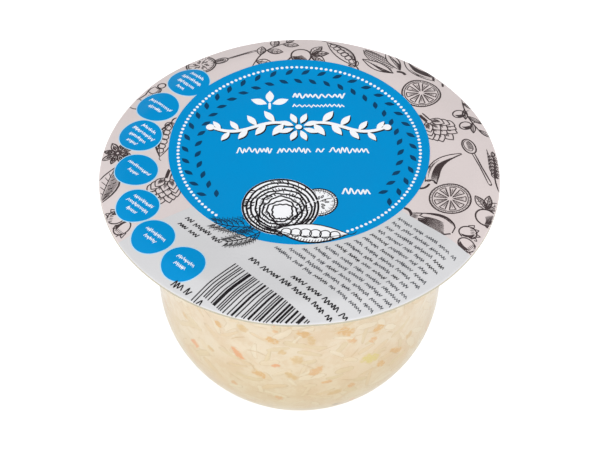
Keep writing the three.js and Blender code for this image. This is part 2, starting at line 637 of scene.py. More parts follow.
@dataclass(frozen=True)
class BowlForm:
    """The bowl's section: a flat foot round a raised middle, a large round belly and a tapered wall."""

    plastic: float = 0.6 * MM
    belly_radius: float = 31.7 * MM
    belly_centre_r: float = 2.8 * MM
    belly_centre_z: float = 26.4 * MM
    wall_taper: float = math.radians(4)
    foot_fillet: float = 3 * MM
    least_fillet: float = 0.4 * MM
    push_up: float = 1 * MM
    push_up_radius: float = 13 * MM
    push_up_slope: float = 2 * MM
    land_z: float = 61.6 * MM
    belly_steps: int = 40
    fillet_steps: int = 8

    def belly_point(self, angle: float, inset: float) -> Point:
        """A point of the belly.

        Args:
            angle: Below level, about the belly's centre.
            inset: Inwards from the cup's outer face.

        Returns:
            Its radius and height.
        """
        reach = self.belly_radius - inset
        return (
            self.belly_centre_r + reach * math.cos(angle),
            self.belly_centre_z - reach * math.sin(angle),
        )

    def wall_radius(self, height: float, inset: float) -> float:
        """The tapered wall's radius at a height, inset from the cup's outer face."""
        radius, foot = self.belly_point(self.wall_taper, inset)
        return radius + (height - foot) * math.tan(self.wall_taper)

    def section(self, inset: float, top: float) -> list[Point]:
        """The section from the axis up to a height.

        Args:
            inset: How far it lies inside the cup's outer face.
            top: The height where it ends.

        Returns:
            Radius and height of each point.
        """
        fillet = max(self.foot_fillet - inset, self.least_fillet)
        reach = self.belly_radius - inset - fillet
        centre_z = inset + fillet
        end = math.asin((self.belly_centre_z - centre_z) / reach)
        centre_r = self.belly_centre_r + reach * math.cos(end)
        foot = [
            (
                centre_r + fillet * math.cos(angle),
                centre_z + fillet * math.sin(angle),
            )
            for angle in np.linspace(-math.pi / 2, -end, self.fillet_steps)
        ]
        belly = [
            self.belly_point(angle, inset)
            for angle in np.linspace(end, self.wall_taper, self.belly_steps)[1:]
        ]
        return [
            (0.0, self.push_up + inset),
            (self.push_up_radius, self.push_up + inset),
            (self.push_up_radius + self.push_up_slope, inset),
            *foot,
            *belly,
            (self.wall_radius(top, inset), top),
        ]


@dataclass
class WallMap:
    """Places on the wall's inside, by azimuth and by length along the section from the axis."""

    form: BowlForm
    top: float
    samples: int = 400
    lengths: np.ndarray = field(init=False)
    points: np.ndarray = field(init=False)
    inward: np.ndarray = field(init=False)
    areas: np.ndarray = field(init=False)

    def __post_init__(self) -> None:
        """Samples the section evenly, with its normals and the area of wall below each point."""
        corners = np.array(self.form.section(0.0, self.top))
        steps = np.hypot(*np.diff(corners, axis=0).T)
        at = np.concatenate([[0.0], np.cumsum(steps)])
        self.lengths = np.linspace(0, at[-1], self.samples)
        self.points = np.stack([np.interp(self.lengths, at, corners[:, k]) for k in (0, 1)], axis=1)
        tangent = np.gradient(self.points, axis=0)
        tangent /= np.hypot(*tangent.T)[:, None]
        self.inward = np.stack([-tangent[:, 1], tangent[:, 0]], axis=1)
        self.areas = np.concatenate([[0.0], np.cumsum(self.points[1:, 0])])
        self.areas /= self.areas[-1]

    def length_at(self, share: float) -> float:
        """The length below which this share of the wall's area lies."""
        return float(np.interp(share, self.areas, self.lengths))

    def radius_at(self, length: np.ndarray) -> np.ndarray:
        """The outer face's radius at each length."""
        return np.interp(length, self.lengths, self.points[:, 0])

    def place(self, azimuth: np.ndarray, length: np.ndarray, inset: np.ndarray) -> np.ndarray:
        """Points at an azimuth and length, inset from the outer face.

        Args:
            azimuth: About the cup's axis.
            length: Along the section.
            inset: Inwards from the cup's outer face.

        Returns:
            One point a row.
        """
        level = np.clip(length, 0, self.lengths[-1])
        r, z = (np.interp(level, self.lengths, self.points[:, k]) for k in (0, 1))
        nr, nz = (np.interp(level, self.lengths, self.inward[:, k]) for k in (0, 1))
        radius = r + nr * inset
        height = z + nz * inset
        return np.stack([radius * np.cos(azimuth), radius * np.sin(azimuth), height], axis=-1)


@dataclass(frozen=True)
class Cup:
    """The clear cup: bowl, sealing land and sloping flange, one thin wall."""

    form: BowlForm
    radius: float = 46.9 * MM
    land_outer: float = 41.4 * MM
    slope_drop: float = 1.5 * MM
    flange_fillet: float = 1.2 * MM
    edge_break: float = 0.2 * MM
    seal_lift: float = 0.2 * MM
    around: int = 192
    corner_steps: int = 6

    def profile(self) -> list[Point]:
        """The whole section, up the outer face, round the flange and down the inner face.

        Returns:
            Radius and height of each corner.
        """
        form = self.form
        land = form.land_z + self.seal_lift
        edge = land - self.slope_drop
        wall_top = land - form.plastic - self.flange_fillet
        outer = form.section(0.0, wall_top)
        corner_r = outer[-1][0] + self.flange_fillet
        under = [
            (corner_r + self.flange_fillet * math.cos(a), wall_top + self.flange_fillet * math.sin(a))
            for a in np.linspace(math.pi, math.pi / 2, self.corner_steps)[1:]
        ]
        flange = [
            (self.land_outer, land - form.plastic),
            (self.radius - self.edge_break, edge - form.plastic),
            (self.radius, edge - form.plastic + self.edge_break),
            (self.radius, edge - self.edge_break),
            (self.radius - self.edge_break, edge),
            (self.land_outer, land),
        ]
        fillet = self.flange_fillet - form.plastic
        inner = form.section(form.plastic, land - fillet)[::-1]
        inner_r = inner[0][0] + fillet
        over = [
            (inner_r + fillet * math.cos(a), land - fillet + fillet * math.sin(a))
            for a in np.linspace(math.pi / 2, math.pi, self.corner_steps)[:-1]
        ]
        return [*outer, *under, *flange, *over, *inner]

    def build(self, finish: ClearPlasticFinish) -> None:
        """Builds the cup and dresses it.

        Args:
            finish: Its plastic.
        """
        piece = revolved("cup_shell", self.profile(), self.around)
        shade_smooth(piece)
        finish_piece(piece, finish.build(), "cup")


class Tone(IntEnum):
    """The colour that a landmark piece takes, by its place in the finish's tones."""

    CARROT = 0
    PEACH = 1
    OCHRE = 2
    TAN = 3
    GREEN = 4
    BROWN = 5


@dataclass(frozen=True)
class ShredKind:
    """One kind of cut vegetable pressed against the wall."""

    finish: ShredFinish
    count: int
    length: tuple[float, float]
    width: tuple[float, float]
    seed: int
    bend: float = 0.9
    crown: float = 0.14 * MM
    spare_front: float = 0.0


@dataclass(frozen=True)
class Shred:
    """A curved strip of low pillow shape that follows the wall."""

    azimuth: float
    along: float
    heading: float
    length: float
    width: float
    bend: float
    crown: float
    ragged: tuple[float, ...]
    lanes: int = 5
    sink: float = 0.04 * MM
    thickness: float = 0.7 * MM
    taper: float = 0.5
    least_radius: float = 4 * MM

    def build(self, wall: WallMap, surface: float) -> tuple[Mesh, np.ndarray]:
        """The strip's mesh and how well each of its points stands out of the dressing.

        Args:
            wall: The wall that it follows.
            surface: The dressing's inset from the cup's outer face.

        Returns:
            The mesh, and each vertex's cover from 0 at the rim to 1 in the middle.
        """
        shape = (len(self.ragged), self.lanes)
        t = np.linspace(-0.5, 0.5, shape[0])[:, None]
        s = np.linspace(-1, 1, self.lanes)[None, :]
        turn = self.heading + self.bend * t
        middle = self.heading + self.bend * t / 2
        half = self.width / 2 * (1 - self.taper * (2 * t) ** 2) * np.array(self.ragged)[:, None]
        across = self.length * t * np.cos(middle) - s * half * np.sin(turn)
        up = self.length * t * np.sin(middle) + s * half * np.cos(turn)
        level = self.along + up
        azimuth = self.azimuth + across / np.maximum(wall.radius_at(level), self.least_radius)
        rise = (1 - s**4) * (1 - (2 * t) ** 6)
        face = wall.place(azimuth, level, surface + self.sink - (self.sink + self.crown) * rise)
        ends = (slice(None), slice(None, None, self.lanes - 1))
        back = wall.place(azimuth[ends], level[ends], np.full((shape[0], 2), surface + self.thickness))
        vertices = np.concatenate([face.reshape(-1, 3), back.reshape(-1, 3)])
        cover = (1 - s**2) * (1 - (2 * t) ** 4)
        return (vertices, self.faces()), np.concatenate([cover.ravel(), np.zeros(2 * shape[0])])

    def faces(self) -> list[tuple[int, ...]]:
        """A closed slab: its face in quads, its back, its two sides and its two ends.

        Returns:
            Each face's vertices by number.
        """
        n, m = len(self.ragged), self.lanes
        back = n * m
        quads = [
            (i * m + j, (i + 1) * m + j, (i + 1) * m + j + 1, i * m + j + 1)
            for i in range(n - 1)
            for j in range(m - 1)
        ]
        for i in range(n - 1):
            a, b = i * m, (i + 1) * m
            c, d = back + 2 * i, back + 2 * i + 2
            quads.append((c, c + 1, d + 1, d))
            quads.append((b, a, c, d))
            quads.append((a + m - 1, b + m - 1, d + 1, c + 1))
        last = (n - 1) * m
        quads.append((*range(m), back + 1, back))
        quads.append((*range(last + m - 1, last - 1, -1), back + 2 * n - 2, back + 2 * n - 1))
        return quads


@dataclass(frozen=True)
class Coleslaw:
    """The salad: dressing out to the clear wall, and the cut vegetables that show in it."""

    form: BowlForm
    kinds: tuple[ShredKind, ...]
    landmark_finish: ShredFinish
    landmark_crown: float = 0.12 * MM
    landmark_seed: int = 2
    into_wall: float = 0.1 * MM
    level: float = 58.9 * MM
    around: int = 160
    top_steps: int = 24
    top_relief: float = 0.35 * MM
    stations: int = 6
    front: float = math.radians(-90)
    landmarks_to: float = 72.5 * MM
    landmark_longer: float = 1.2
    landmark_wider: float = 1.95
    top_fade: float = 4 * MM
    # Each wave's pace per millimetre, how far it wanders and the pace of that.
    top_waves: tuple[tuple[float, float, float], ...] = ((0.55, 0.8, 0.31), (0.47, 0.9, 0.23))
    top_slack: float = 1e-4
    azimuth_spread: float = 0.1
    heading_spread: float = 0.75
    crown_share: tuple[float, float] = (0.5, 1.0)
    raggedness: tuple[float, float] = (0.75, 1.15)
    landmark_raggedness: tuple[float, float] = (0.7, 1.15)
    crease: float = math.radians(60)

    @property
    def surface(self) -> float:
        """The dressing's inset from the cup's outer face."""
        return self.form.plastic - self.into_wall

    def build_dressing(self, finish: DressingFinish) -> None:
        """The body of dressing, with a gently uneven top.

        Args:
            finish: How the dressing looks.
        """
        section = self.form.section(self.surface, self.level)
        edge = section[-1][0]
        top = [(edge * (1 - k / self.top_steps), self.level) for k in range(1, self.top_steps + 1)]
        piece = revolved("dressing", [*section, *top], self.around)

        def ripple(points: np.ndarray) -> np.ndarray:
            """Lets the top undulate, less towards the wall.

            Args:
                points: One a row, in metres.

            Returns:
                The moved points.
            """
            x, y, z = points.T / MM
            radius = np.hypot(x, y)
            waves = math.prod(
                np.sin(pace * along + wander * np.sin(slower * across))
                for (pace, wander, slower), along, across in zip(self.top_waves, (x, y), (y, x))
            )
            fade = np.clip((edge / MM - radius) / (self.top_fade / MM), 0, 1)
            on_top = np.abs(z - self.level / MM) < self.top_slack
            points[:, 2] += np.where(on_top, self.top_relief * waves * fade, 0.0)
            return points

        reshape(piece, ripple)
        shade_smooth(piece)
        finish_piece(piece, finish.build(), "coleslaw")

    def build_shreds(self, kind: ShredKind, dressing: DressingFinish) -> None:
        """All shreds of one kind, spread evenly over the wall.

        Args:
            kind: What they are.
            dressing: What coats them.
        """
        wall = WallMap(self.form, self.level)
        draw = Random(kind.seed)
        shreds: list[tuple[Shred, float]] = []
        for k in range(kind.count):
            shred = Shred(
                azimuth=k * GOLDEN_ANGLE + draw.uniform(-self.azimuth_spread, self.azimuth_spread),
                along=wall.length_at((k + draw.random()) / kind.count),
                heading=draw.gauss(0.0, self.heading_spread),
                length=draw.uniform(*kind.length),
                width=draw.uniform(*kind.width),
                bend=draw.uniform(-kind.bend, kind.bend),
                crown=kind.crown * draw.uniform(*self.crown_share),
                ragged=tuple(draw.uniform(*self.raggedness) for _ in range(self.stations)),
            )
            tone = draw.random()
            beside = math.cos(shred.azimuth - self.front) < 1 - kind.spare_front
            if beside or shred.along > self.landmarks_to:
                shreds.append((shred, tone))
        self.dress_shreds(kind.finish, dressing, wall, shreds)

    def build_landmarks(self, dressing: DressingFinish) -> None:
        """The larger coloured bits at the front, each in its own place.

        Args:
            dressing: What coats them.
        """
        draw = Random(self.landmark_seed)
        shreds: list[tuple[Shred, float]] = []
        for azimuth, along, heading, length, width, bend, tone in LANDMARKS:
            shred = Shred(
                azimuth=math.radians(azimuth),
                along=along * MM,
                heading=math.radians(heading),
                length=length * MM * self.landmark_longer,
                width=width * MM * self.landmark_wider,
                bend=bend,
                crown=self.landmark_crown,
                ragged=tuple(draw.uniform(*self.landmark_raggedness) for _ in range(self.stations)),
            )
            shreds.append((shred, (tone + 0.5) / len(Tone)))
        self.dress_shreds(self.landmark_finish, dressing, WallMap(self.form, self.level), shreds)

    def dress_shreds(
        self,
        finish: ShredFinish,
        dressing: DressingFinish,
        wall: WallMap,
        shreds: list[tuple[Shred, float]],
    ) -> None:
        """Shreds as one piece with each one's tone and cover.

        Args:
            finish: What they are made of; the piece takes its name.
            dressing: What coats them.
            wall: The wall that they follow.
            shreds: Each shred and its tone.
        """
        built = [shred.build(wall, self.surface) for shred, _ in shreds]
        piece = mesh_piece(finish.name, [mesh for mesh, _ in built])
        cover = np.concatenate([cover for _, cover in built])
        tone = np.concatenate([np.full(len(c), tone) for (_, c), (_, tone) in zip(built, shreds)])
        for name, values in (("cover", cover), ("tone", tone)):
            attribute = piece.data.attributes.new(name, "FLOAT", "POINT")
            attribute.data.foreach_set("value", values)
        shade_smooth(piece, self.crease)
        finish_piece(piece, finish.build(dressing))


# Each landmark's azimuth in degrees, length up the wall in millimetres, heading in degrees, length and
# width in millimetres, bend in radians and tone.
LANDMARKS: tuple[tuple[float, float, float, float, float, float, Tone], ...] = (
    (-136.3, 52.8, -34, 2.6, 2.4, 0.3, Tone.CARROT),
    (-114.8, 58.0, -56, 5.0, 1.6, 0.3, Tone.CARROT),
    (-122.6, 66.5, -61, 2.5, 1.5, 0.0, Tone.OCHRE),
    (-112.0, 68.6, -54, 3.0, 2.3, 0.4, Tone.TAN),
    (-100.3, 66.3, -22, 3.6, 1.9, 0.3, Tone.OCHRE),
    (-88.5, 69.5, -28, 3.6, 1.9, -0.9, Tone.OCHRE),
    (-85.4, 66.9, -78, 4.1, 1.2, -0.8, Tone.TAN),
    (-96.5, 62.1, -30, 1.9, 1.5, 0.0, Tone.TAN),
    (-90.9, 59.4, -39, 3.4, 2.1, 0.5, Tone.TAN),
    (-99.4, 56.7, 2, 2.4, 1.1, 0.0, Tone.CARROT),
    (-105.9, 52.2, -30, 4.2, 2.1, -0.4, Tone.OCHRE),
    (-93.1, 53.0, -40, 4.8, 1.4, 0.6, Tone.TAN),
    (-83.7, 54.8, 49, 4.7, 2.1, -0.6, Tone.PEACH),
    (-72.3, 68.3, -35, 4.8, 2.7, 0.5, Tone.OCHRE),
    (-69.5, 64.2, -53, 3.0, 1.6, 0.3, Tone.PEACH),
    (-58.4, 65.2, 45, 3.2, 2.3, 0.4, Tone.OCHRE),
    (-60.3, 61.7, 49, 2.3, 1.7, 0.0, Tone.PEACH),
    (-60.8, 54.6, -28, 5.8, 2.8, 0.4, Tone.GREEN),
    (-55.6, 50.5, -41, 3.2, 1.9, 0.0, Tone.OCHRE),
    (-72.9, 35.8, -11, 2.6, 1.7, 0.0, Tone.BROWN),
    (-65.7, 36.5, 20, 1.6, 1.5, 0.0, Tone.CARROT),
    (-98.5, 43.3, -75, 3.0, 1.5, 0.0, Tone.PEACH),
    (-68.5, 46.2, -18, 2.2, 1.6, 0.0, Tone.PEACH),
    (-117.7, 45.1, 13, 2.0, 1.6, 0.0, Tone.PEACH),
    (-112.0, 36.5, 4, 3.6, 1.8, 0.3, Tone.TAN),
    (-99.0, 69.9, -2, 1.8, 1.3, 0.0, Tone.PEACH),
    (-75.4, 44.7, 10, 4.2, 1.6, 0.7, Tone.TAN),
    (-48.2, 52.2, -37, 5.4, 1.4, 0.7, Tone.OCHRE),
    (-79.1, 50.0, 4, 3.0, 1.2, 0.0, Tone.PEACH),
    (-127.5, 54.9, -42, 2.2, 1.4, 0.0, Tone.TAN),
    (-140.6, 60.9, -55, 2.3, 1.5, 0.0, Tone.TAN),
    (-40.9, 54.4, 17, 2.6, 1.7, 0.0, Tone.TAN),
)


# ---------------------------------------------------------------- the film and its print


@dataclass(frozen=True)
class Film:
    """The sealed film: flat over the bowl, a shallow dip inside the land, then down over the flange."""

    radius: float = 47.35 * MM
    print_radius: float = 47.33 * MM
    thickness: float = 0.2 * MM
    underside: float = 61.9 * MM
    dip: float = 0.25 * MM
    dip_inner: float = 24.2 * MM
    dip_outer: float = 38.3 * MM
    land_outer: float = 41.4 * MM
    slope: float = 0.275
    slope_round: float = 0.9 * MM
    turn_from: float = 47.0 * MM
    turn_down: float = 0.15 * MM
    wave: float = 0.08 * MM
    # Each wave's share of the height, how many go round, where it starts and the length it twists over.
    ruffles: tuple[tuple[float, int, float, float], ...] = (
        (1.0, 5, 0.7, math.inf),
        (0.8, 8, 2.1, 9 * MM),
        (0.6, 13, 4.0, -6 * MM),
    )
    deepest_ruffle: float = 2.3
    wave_inner: float = 22 * MM
    wave_full: float = 34 * MM
    around: int = 240
    rings: int = 64
    edge_step: float = 0.1 * MM
    edge_rings: int = 4
    least_rings: int = 6
    least_around: int = 48
    lip: float = 0.3 * MM

    def height(self, x: np.ndarray, y: np.ndarray) -> np.ndarray:
        """The printed face's height at places on the film.

        Args:
            x: Their places to the right.
            y: Their places away from the reader.

        Returns:
            The height at each.
        """
        radius = np.hypot(x, y)
        azimuth = np.arctan2(y, x)
        share = np.clip((radius - self.dip_inner) / (self.dip_outer - self.dip_inner), 0, 1)
        sink = self.dip * np.sin(np.pi * share) ** 2
        past = radius - self.land_outer
        fall = self.slope * (past + np.sqrt(past**2 + self.slope_round**2)) / 2
        reach = np.clip((radius - self.wave_inner) / (self.wave_full - self.wave_inner), 0, 1)
        ruffle = sum(
            share * np.sin(count * azimuth + start + radius / twist)
            for share, count, start, twist in self.ruffles
        )
        ease = reach * reach * (3 - 2 * reach)
        turned_under = np.clip(radius - self.turn_from, 0, None) / (self.radius - self.turn_from)
        fall += self.turn_down * turned_under**2
        lift = self.wave * ease * (self.deepest_ruffle + ruffle)
        return self.underside + self.thickness - sink - fall + lift

    def drape(self, piece: Piece) -> None:
        """Lays a flat piece on the film: each point keeps its height over the printed face.

        Args:
            piece: The flat piece.
        """

        def lay(points: np.ndarray) -> np.ndarray:
            """Adds the film's height at each point."""
            points[:, 2] += self.height(points[:, 0], points[:, 1])
            return points

        reshape(piece, lay)

    def sheet(
        self, name: str, centre: Point, radius: float, low: float, high: float, lip: float = 0.0
    ) -> Piece:
        """A round thin sheet that lies on the film.

        Args:
            name: The piece's name.
            centre: Its middle.
            radius: Its radius.
            low: Its underside over the printed face.
            high: Its top over the printed face.
            lip: How much lower its underside's edge hangs.

        Returns:
            The new piece.
        """
        rings = max(int(self.rings * radius / self.radius), self.least_rings)
        around = max(int(self.around * math.sqrt(radius / self.radius)), self.least_around)
        across = [radius * k / rings for k in range(rings)]
        across += [radius - self.edge_step * k for k in range(self.edge_rings, -1, -1)]
        under = [(r, low) for r in across[:-1]] + [(radius, low - lip)]
        profile = under + [(r, high) for r in reversed(across)]
        piece = revolved(name, profile, around)
        reshape(piece, lambda points: points + np.array([*centre, 0.0]))
        self.drape(piece)
        shade_smooth(piece)
        return piece


@dataclass(frozen=True)
class Line:
    """One pen line: thick in its middle and finer at its ends."""

    points: np.ndarray
    width: float
    taper: float = 0.55
    closed: bool = False


class Sketch:
    """Lines and filled patches of one drawing, in millimetres about its own middle."""

    def __init__(self) -> None:
        """Starts a clean drawing."""
        self.lines: list[Line] = []
        self.patches: list[np.ndarray] = []

    def line(self, points: Sequence[Point], width: float, taper: float = 0.55, closed: bool = False) -> None:
        """Adds a pen line through points."""
        self.lines.append(Line(np.array(points, float), width, taper, closed))

    def curve(self, start: Point, end: Point, bow: float, width: float, taper: float = 0.55) -> None:
        """Adds a line that bows to its left by this share of its length."""
        self.line(bowed(start, end, bow), width, taper)

    def outline(self, points: Sequence[Point], width: float) -> None:
        """Adds a closed line of even width."""
        self.line(points, width, 0.0, True)

    def oval(
        self, centre: Point, rx: float, ry: float, width: float, turn: float = 0.0, count: int = 28
    ) -> None:
        """Adds a closed oval line through this many points."""
        self.outline(oval_points(centre, rx, ry, turn, count), width)

    def dot(self, centre: Point, radius: float, count: int) -> None:
        """Adds a filled disc with this many corners."""
        self.patches.append(oval_points(centre, radius, radius, count=count))

    def leaf(
        self, base: Point, tip: Point, breadth: float, width: float, veins: int = 0, shades: int = 0
    ) -> None:
        """Adds a leaf's two edges, its rib, its veins and the hatching of its darker half.

        Args:
            base: Where it grows from.
            tip: Its point.
            breadth: Half its width as a share of its length.
            width: Of the pen.
            veins: How many on each side.
            shades: How many hatching lines.
        """
        self.curve(base, tip, breadth, width)
        self.curve(base, tip, -breadth, width * 1.3)
        self.curve(base, tip, breadth * 0.1, width * 0.7, 0.8)
        a, b = np.array(base), np.array(tip)
        side = np.array([a[1] - b[1], b[0] - a[0]])
        for k in range(veins):
            share = (k + 1) / (veins + 1.5)
            root = a + (b - a) * share
            reach = breadth * 0.75 * math.sin(math.pi * min(share + 0.15, 1.0))
            for hand in (-1, 1):
                self.line([root, root + (b - a) * 0.12 + side * reach * hand], width * 0.5, 0.7)
        for k in range(shades):
            share = 0.1 + 0.8 * (k + 0.5) / shades
            reach = breadth * 0.9 * math.sin(math.pi * share)
            root = a + (b - a) * (share - 0.05)
            self.line([root, root + (b - a) * 0.1 - side * reach], width * 0.42, 0.6)

    def hatch(self, low: np.ndarray, high: np.ndarray, count: int, width: float) -> None:
        """Adds fine lines from points of one edge to the facing points of another."""
        for share in np.linspace(0, 1, count):
            self.line([along_path(low, share), along_path(high, share)], width, 0.8)

    def clear_inside(self, outline: np.ndarray) -> None:
        """Cuts away what a nearer thing's outline hides.

        Args:
            outline: The nearer thing's edge.
        """
        kept: list[Line] = []
        for one in self.lines:
            points = np.concatenate([one.points, one.points[:1]]) if one.closed else one.points
            fine = np.concatenate([np.linspace(a, b, 5)[:-1] for a, b in zip(points, points[1:])])
            shown = ~inside(outline, fine)
            if shown.all():
                kept.append(one)
                continue
            for run in runs(fine, shown):
                kept.append(Line(run, one.width, one.taper * 0.5))
        self.lines = kept

    def add(self, other: Sketch) -> None:
        """Adds another drawing's lines and patches."""
        self.lines += other.lines
        self.patches += other.patches

    def placed(self, at: Point, turn: float = 0.0, scale: float = 1.0, fatter: float = 0.0) -> Sketch:
        """A copy turned, scaled and moved.

        Args:
            at: Its new middle.
            turn: Anticlockwise.
            scale: Of its size; the pen stays as it is.
            fatter: How much wider each line gets.

        Returns:
            The new drawing.
        """
        spin = turned(turn) * scale
        made = Sketch()
        for one in self.lines:
            made.line(one.points @ spin + at, one.width + fatter, one.taper, one.closed)
        made.patches = [patch @ spin + at for patch in self.patches]
        return made


def bowed(start: Sequence[float], end: Sequence[float], bow: float, count: int = 9) -> np.ndarray:
    """Points from start to end on a bowed curve.

    Args:
        start: Its first point.
        end: Its last point.
        bow: How far its middle lies to the left, as a share of its length.
        count: How many points.

    Returns:
        One point a row.
    """
    a, b = np.array(start, float), np.array(end, float)
    t = np.linspace(0, 1, count)[:, None]
    side = np.array([a[1] - b[1], b[0] - a[0]])
    return a + (b - a) * t + side * bow * np.sin(math.pi * t)


def oval_points(centre: Point, rx: float, ry: float, turn: float = 0.0, count: int = 28) -> np.ndarray:
    """Points round an oval, anticlockwise, the first not repeated.

    Args:
        centre: Its middle.
        rx: Half its length.
        ry: Half its breadth.
        turn: Anticlockwise.
        count: How many points.

    Returns:
        One point a row.
    """
    t = np.linspace(0, math.tau, count, endpoint=False)
    x, y = rx * np.cos(t), ry * np.sin(t)
    c, s = math.cos(turn), math.sin(turn)
    return np.stack([centre[0] + x * c - y * s, centre[1] + x * s + y * c], axis=1)


def along_path(points: np.ndarray, share: float) -> np.ndarray:
    """The point at a share of the way through a path's points."""
    at = share * (len(points) - 1)
    return np.array([np.interp(at, range(len(points)), points[:, k]) for k in (0, 1)])


def inside(outline: np.ndarray, points: np.ndarray) -> np.ndarray:
    """Which points lie inside a closed outline.

    Args:
        outline: The outline's corners.
        points: The points to look at.

    Returns:
        True for each point inside.
    """
    x, y = points[:, :1], points[:, 1:]
    x1, y1 = outline.T
    x2, y2 = np.roll(outline, -1, axis=0).T
    crosses = (y1 > y) != (y2 > y)
    rise = np.where(np.abs(y2 - y1) < LEAST_RISE, LEAST_RISE, y2 - y1)
    left = x < x1 + (y - y1) * (x2 - x1) / rise
    return (crosses & left).sum(axis=1) % 2 == 1


def runs(points: np.ndarray, kept: np.ndarray) -> list[np.ndarray]:
    """The unbroken stretches of a line whose points are kept.

    Args:
        points: The line's points.
        kept: Which of them are kept.

    Returns:
        Each stretch of two points or more.
    """
    found: list[np.ndarray] = []
    start = 0
    for i, keep in enumerate([*kept, False]):
        if not keep:
            if i - start > 1:
                found.append(points[start:i])
            start = i + 1
    return found


def held_within(points: np.ndarray, reach: float) -> np.ndarray:
    """Points, with those beyond a radius brought back to it."""
    return points * np.minimum(reach / np.maximum(np.hypot(*points.T), LEAST_LENGTH), 1.0)[:, None]


def polar(radius: float, azimuth: float) -> Point:
    """A point on the plane from its distance and azimuth."""
    return (radius * math.cos(azimuth), radius * math.sin(azimuth))


def turned(angle: float) -> np.ndarray:
    """The matrix that turns row points anticlockwise."""
    c, s = math.cos(angle), math.sin(angle)
    return np.array([[c, s], [-s, c]])


def around(count: int, shift: float = 0.0) -> Iterator[tuple[int, float]]:
    """Even steps round a circle, each with its number and azimuth."""
    for k in range(count):
        yield k, math.tau * (k + shift) / count


def leaf_outline(length: float, breadth: float, turn: float, base: Point) -> np.ndarray:
    """A leaf's closed outline, anticlockwise from its base.

    Args:
        length: From base to tip.
        breadth: Half its width as a share of its length.
        turn: Its heading, anticlockwise of +X.
        base: Where it grows from.

    Returns:
        One point a row; the tip's row is LEAF_TIP.
    """
    lower = bowed((0, 0), (length, 0), -breadth)
    upper = bowed((0, 0), (length, 0), breadth)[::-1][1:-1]
    return np.concatenate([lower, upper]) @ turned(turn) + base


Motif = Callable[[Sketch], None]

# The widths of the two pens in millimetres, and which of a leaf outline's points is its tip.
PEN = 0.36
FINE_PEN = 0.2
LEAF_TIP = 8


def drawn(motif: Motif) -> Sketch:
    """A drawing with one motif in it.

    Args:
        motif: What is drawn.

    Returns:
        The drawing.
    """
    art = Sketch()
    motif(art)
    return art


def leafy_sprig(art: Sketch) -> None:
    """A curved stem with leaves on both sides.

    Args:
        art: The drawing that it goes in.
    """
    stem = bowed((-5.5, -1.5), (5.0, 0.8), 0.1)
    art.line(stem, PEN)
    for k in range(5):
        root = along_path(stem, 0.15 + 0.19 * k)
        hand = 1 if k % 2 else -1
        art.leaf(root, root + np.array([2.3, hand * 2.6]), 0.26, PEN * 0.8, 2, 9)
    art.leaf((5.0, 0.8), (7.6, 1.6), 0.24, PEN * 0.8, 1, 7)


def citrus_slice(art: Sketch) -> None:
    """A round slice with its segments.

    Args:
        art: The drawing that it goes in.
    """
    art.oval((0, 0), 4.4, 4.3, PEN)
    art.oval((0, 0), 3.8, 3.75, FINE_PEN)
    segments = 9
    spread = 0.75 * math.pi / segments
    for _, middle in around(segments):
        rim = [polar(3.35, middle + spread * s) for s in (-0.8, -0.3, 0.3, 0.8)]
        art.outline([polar(0.6, middle), *rim], FINE_PEN * 1.2)
        for side in (-0.12, 0.0, 0.12):
            art.line([polar(1.3, middle + side), polar(2.9, middle + side * 1.3)], FINE_PEN * 0.8, 0.8)
    for k, azimuth in around(64):
        art.line([polar(3.85, azimuth), polar(4.15 + 0.2 * (k % 2), azimuth)], FINE_PEN * 0.8, 0.6)


def cucumber_slice(art: Sketch) -> None:
    """A round slice with a hatched rind and seeds in three groups.

    Args:
        art: The drawing that it goes in.
    """
    art.oval((0, 0), 3.9, 3.8, PEN)
    art.oval((0, 0), 3.35, 3.3, FINE_PEN)
    for _, azimuth in around(44):
        art.line([polar(3.4, azimuth), polar(3.85, azimuth + 0.03)], FINE_PEN, 0.5)
    for k in range(12):
        azimuth = math.tau * (k + 0.3 * (k % 2)) / 12
        reach = 1.25 + 0.5 * (k % 2)
        art.oval(polar(reach, azimuth), 0.42, 0.16, FINE_PEN, azimuth, 10)
    for _, azimuth in around(3):
        art.curve(polar(0.3, azimuth), polar(2.9, azimuth), 0.08, FINE_PEN)
    for k, azimuth in around(54):
        art.line([polar(2.5 + 0.3 * (k % 3), azimuth), polar(3.3, azimuth)], FINE_PEN * 0.7, 0.7)


def onion_half(art: Sketch) -> None:
    """A halved onion: nested layers round a pale heart, shaded between them.

    Args:
        art: The drawing that it goes in.
    """
    t = np.linspace(0, math.tau, 56, endpoint=False)
    for k in range(8):
        wave = k * (0.011 * np.sin(4 * t + 1.7 * k) + 0.006 * np.sin(11 * t + 2.3 * k))
        reach = (4.3 - 0.44 * k) * (1 + wave)
        layer = np.stack([reach * np.cos(t), reach * np.sin(t) - 0.12 * k], axis=1)
        art.outline(layer, PEN * (1.4 - 0.04 * k))
    draw = Random(23)
    for k in range(260):
        azimuth = draw.uniform(0.0, math.tau)
        near = 1.75 + 0.42 * (k % 6)
        art.line([polar(near, azimuth), polar(near + 0.34, azimuth + 0.06)], FINE_PEN * 1.2, 0.6)


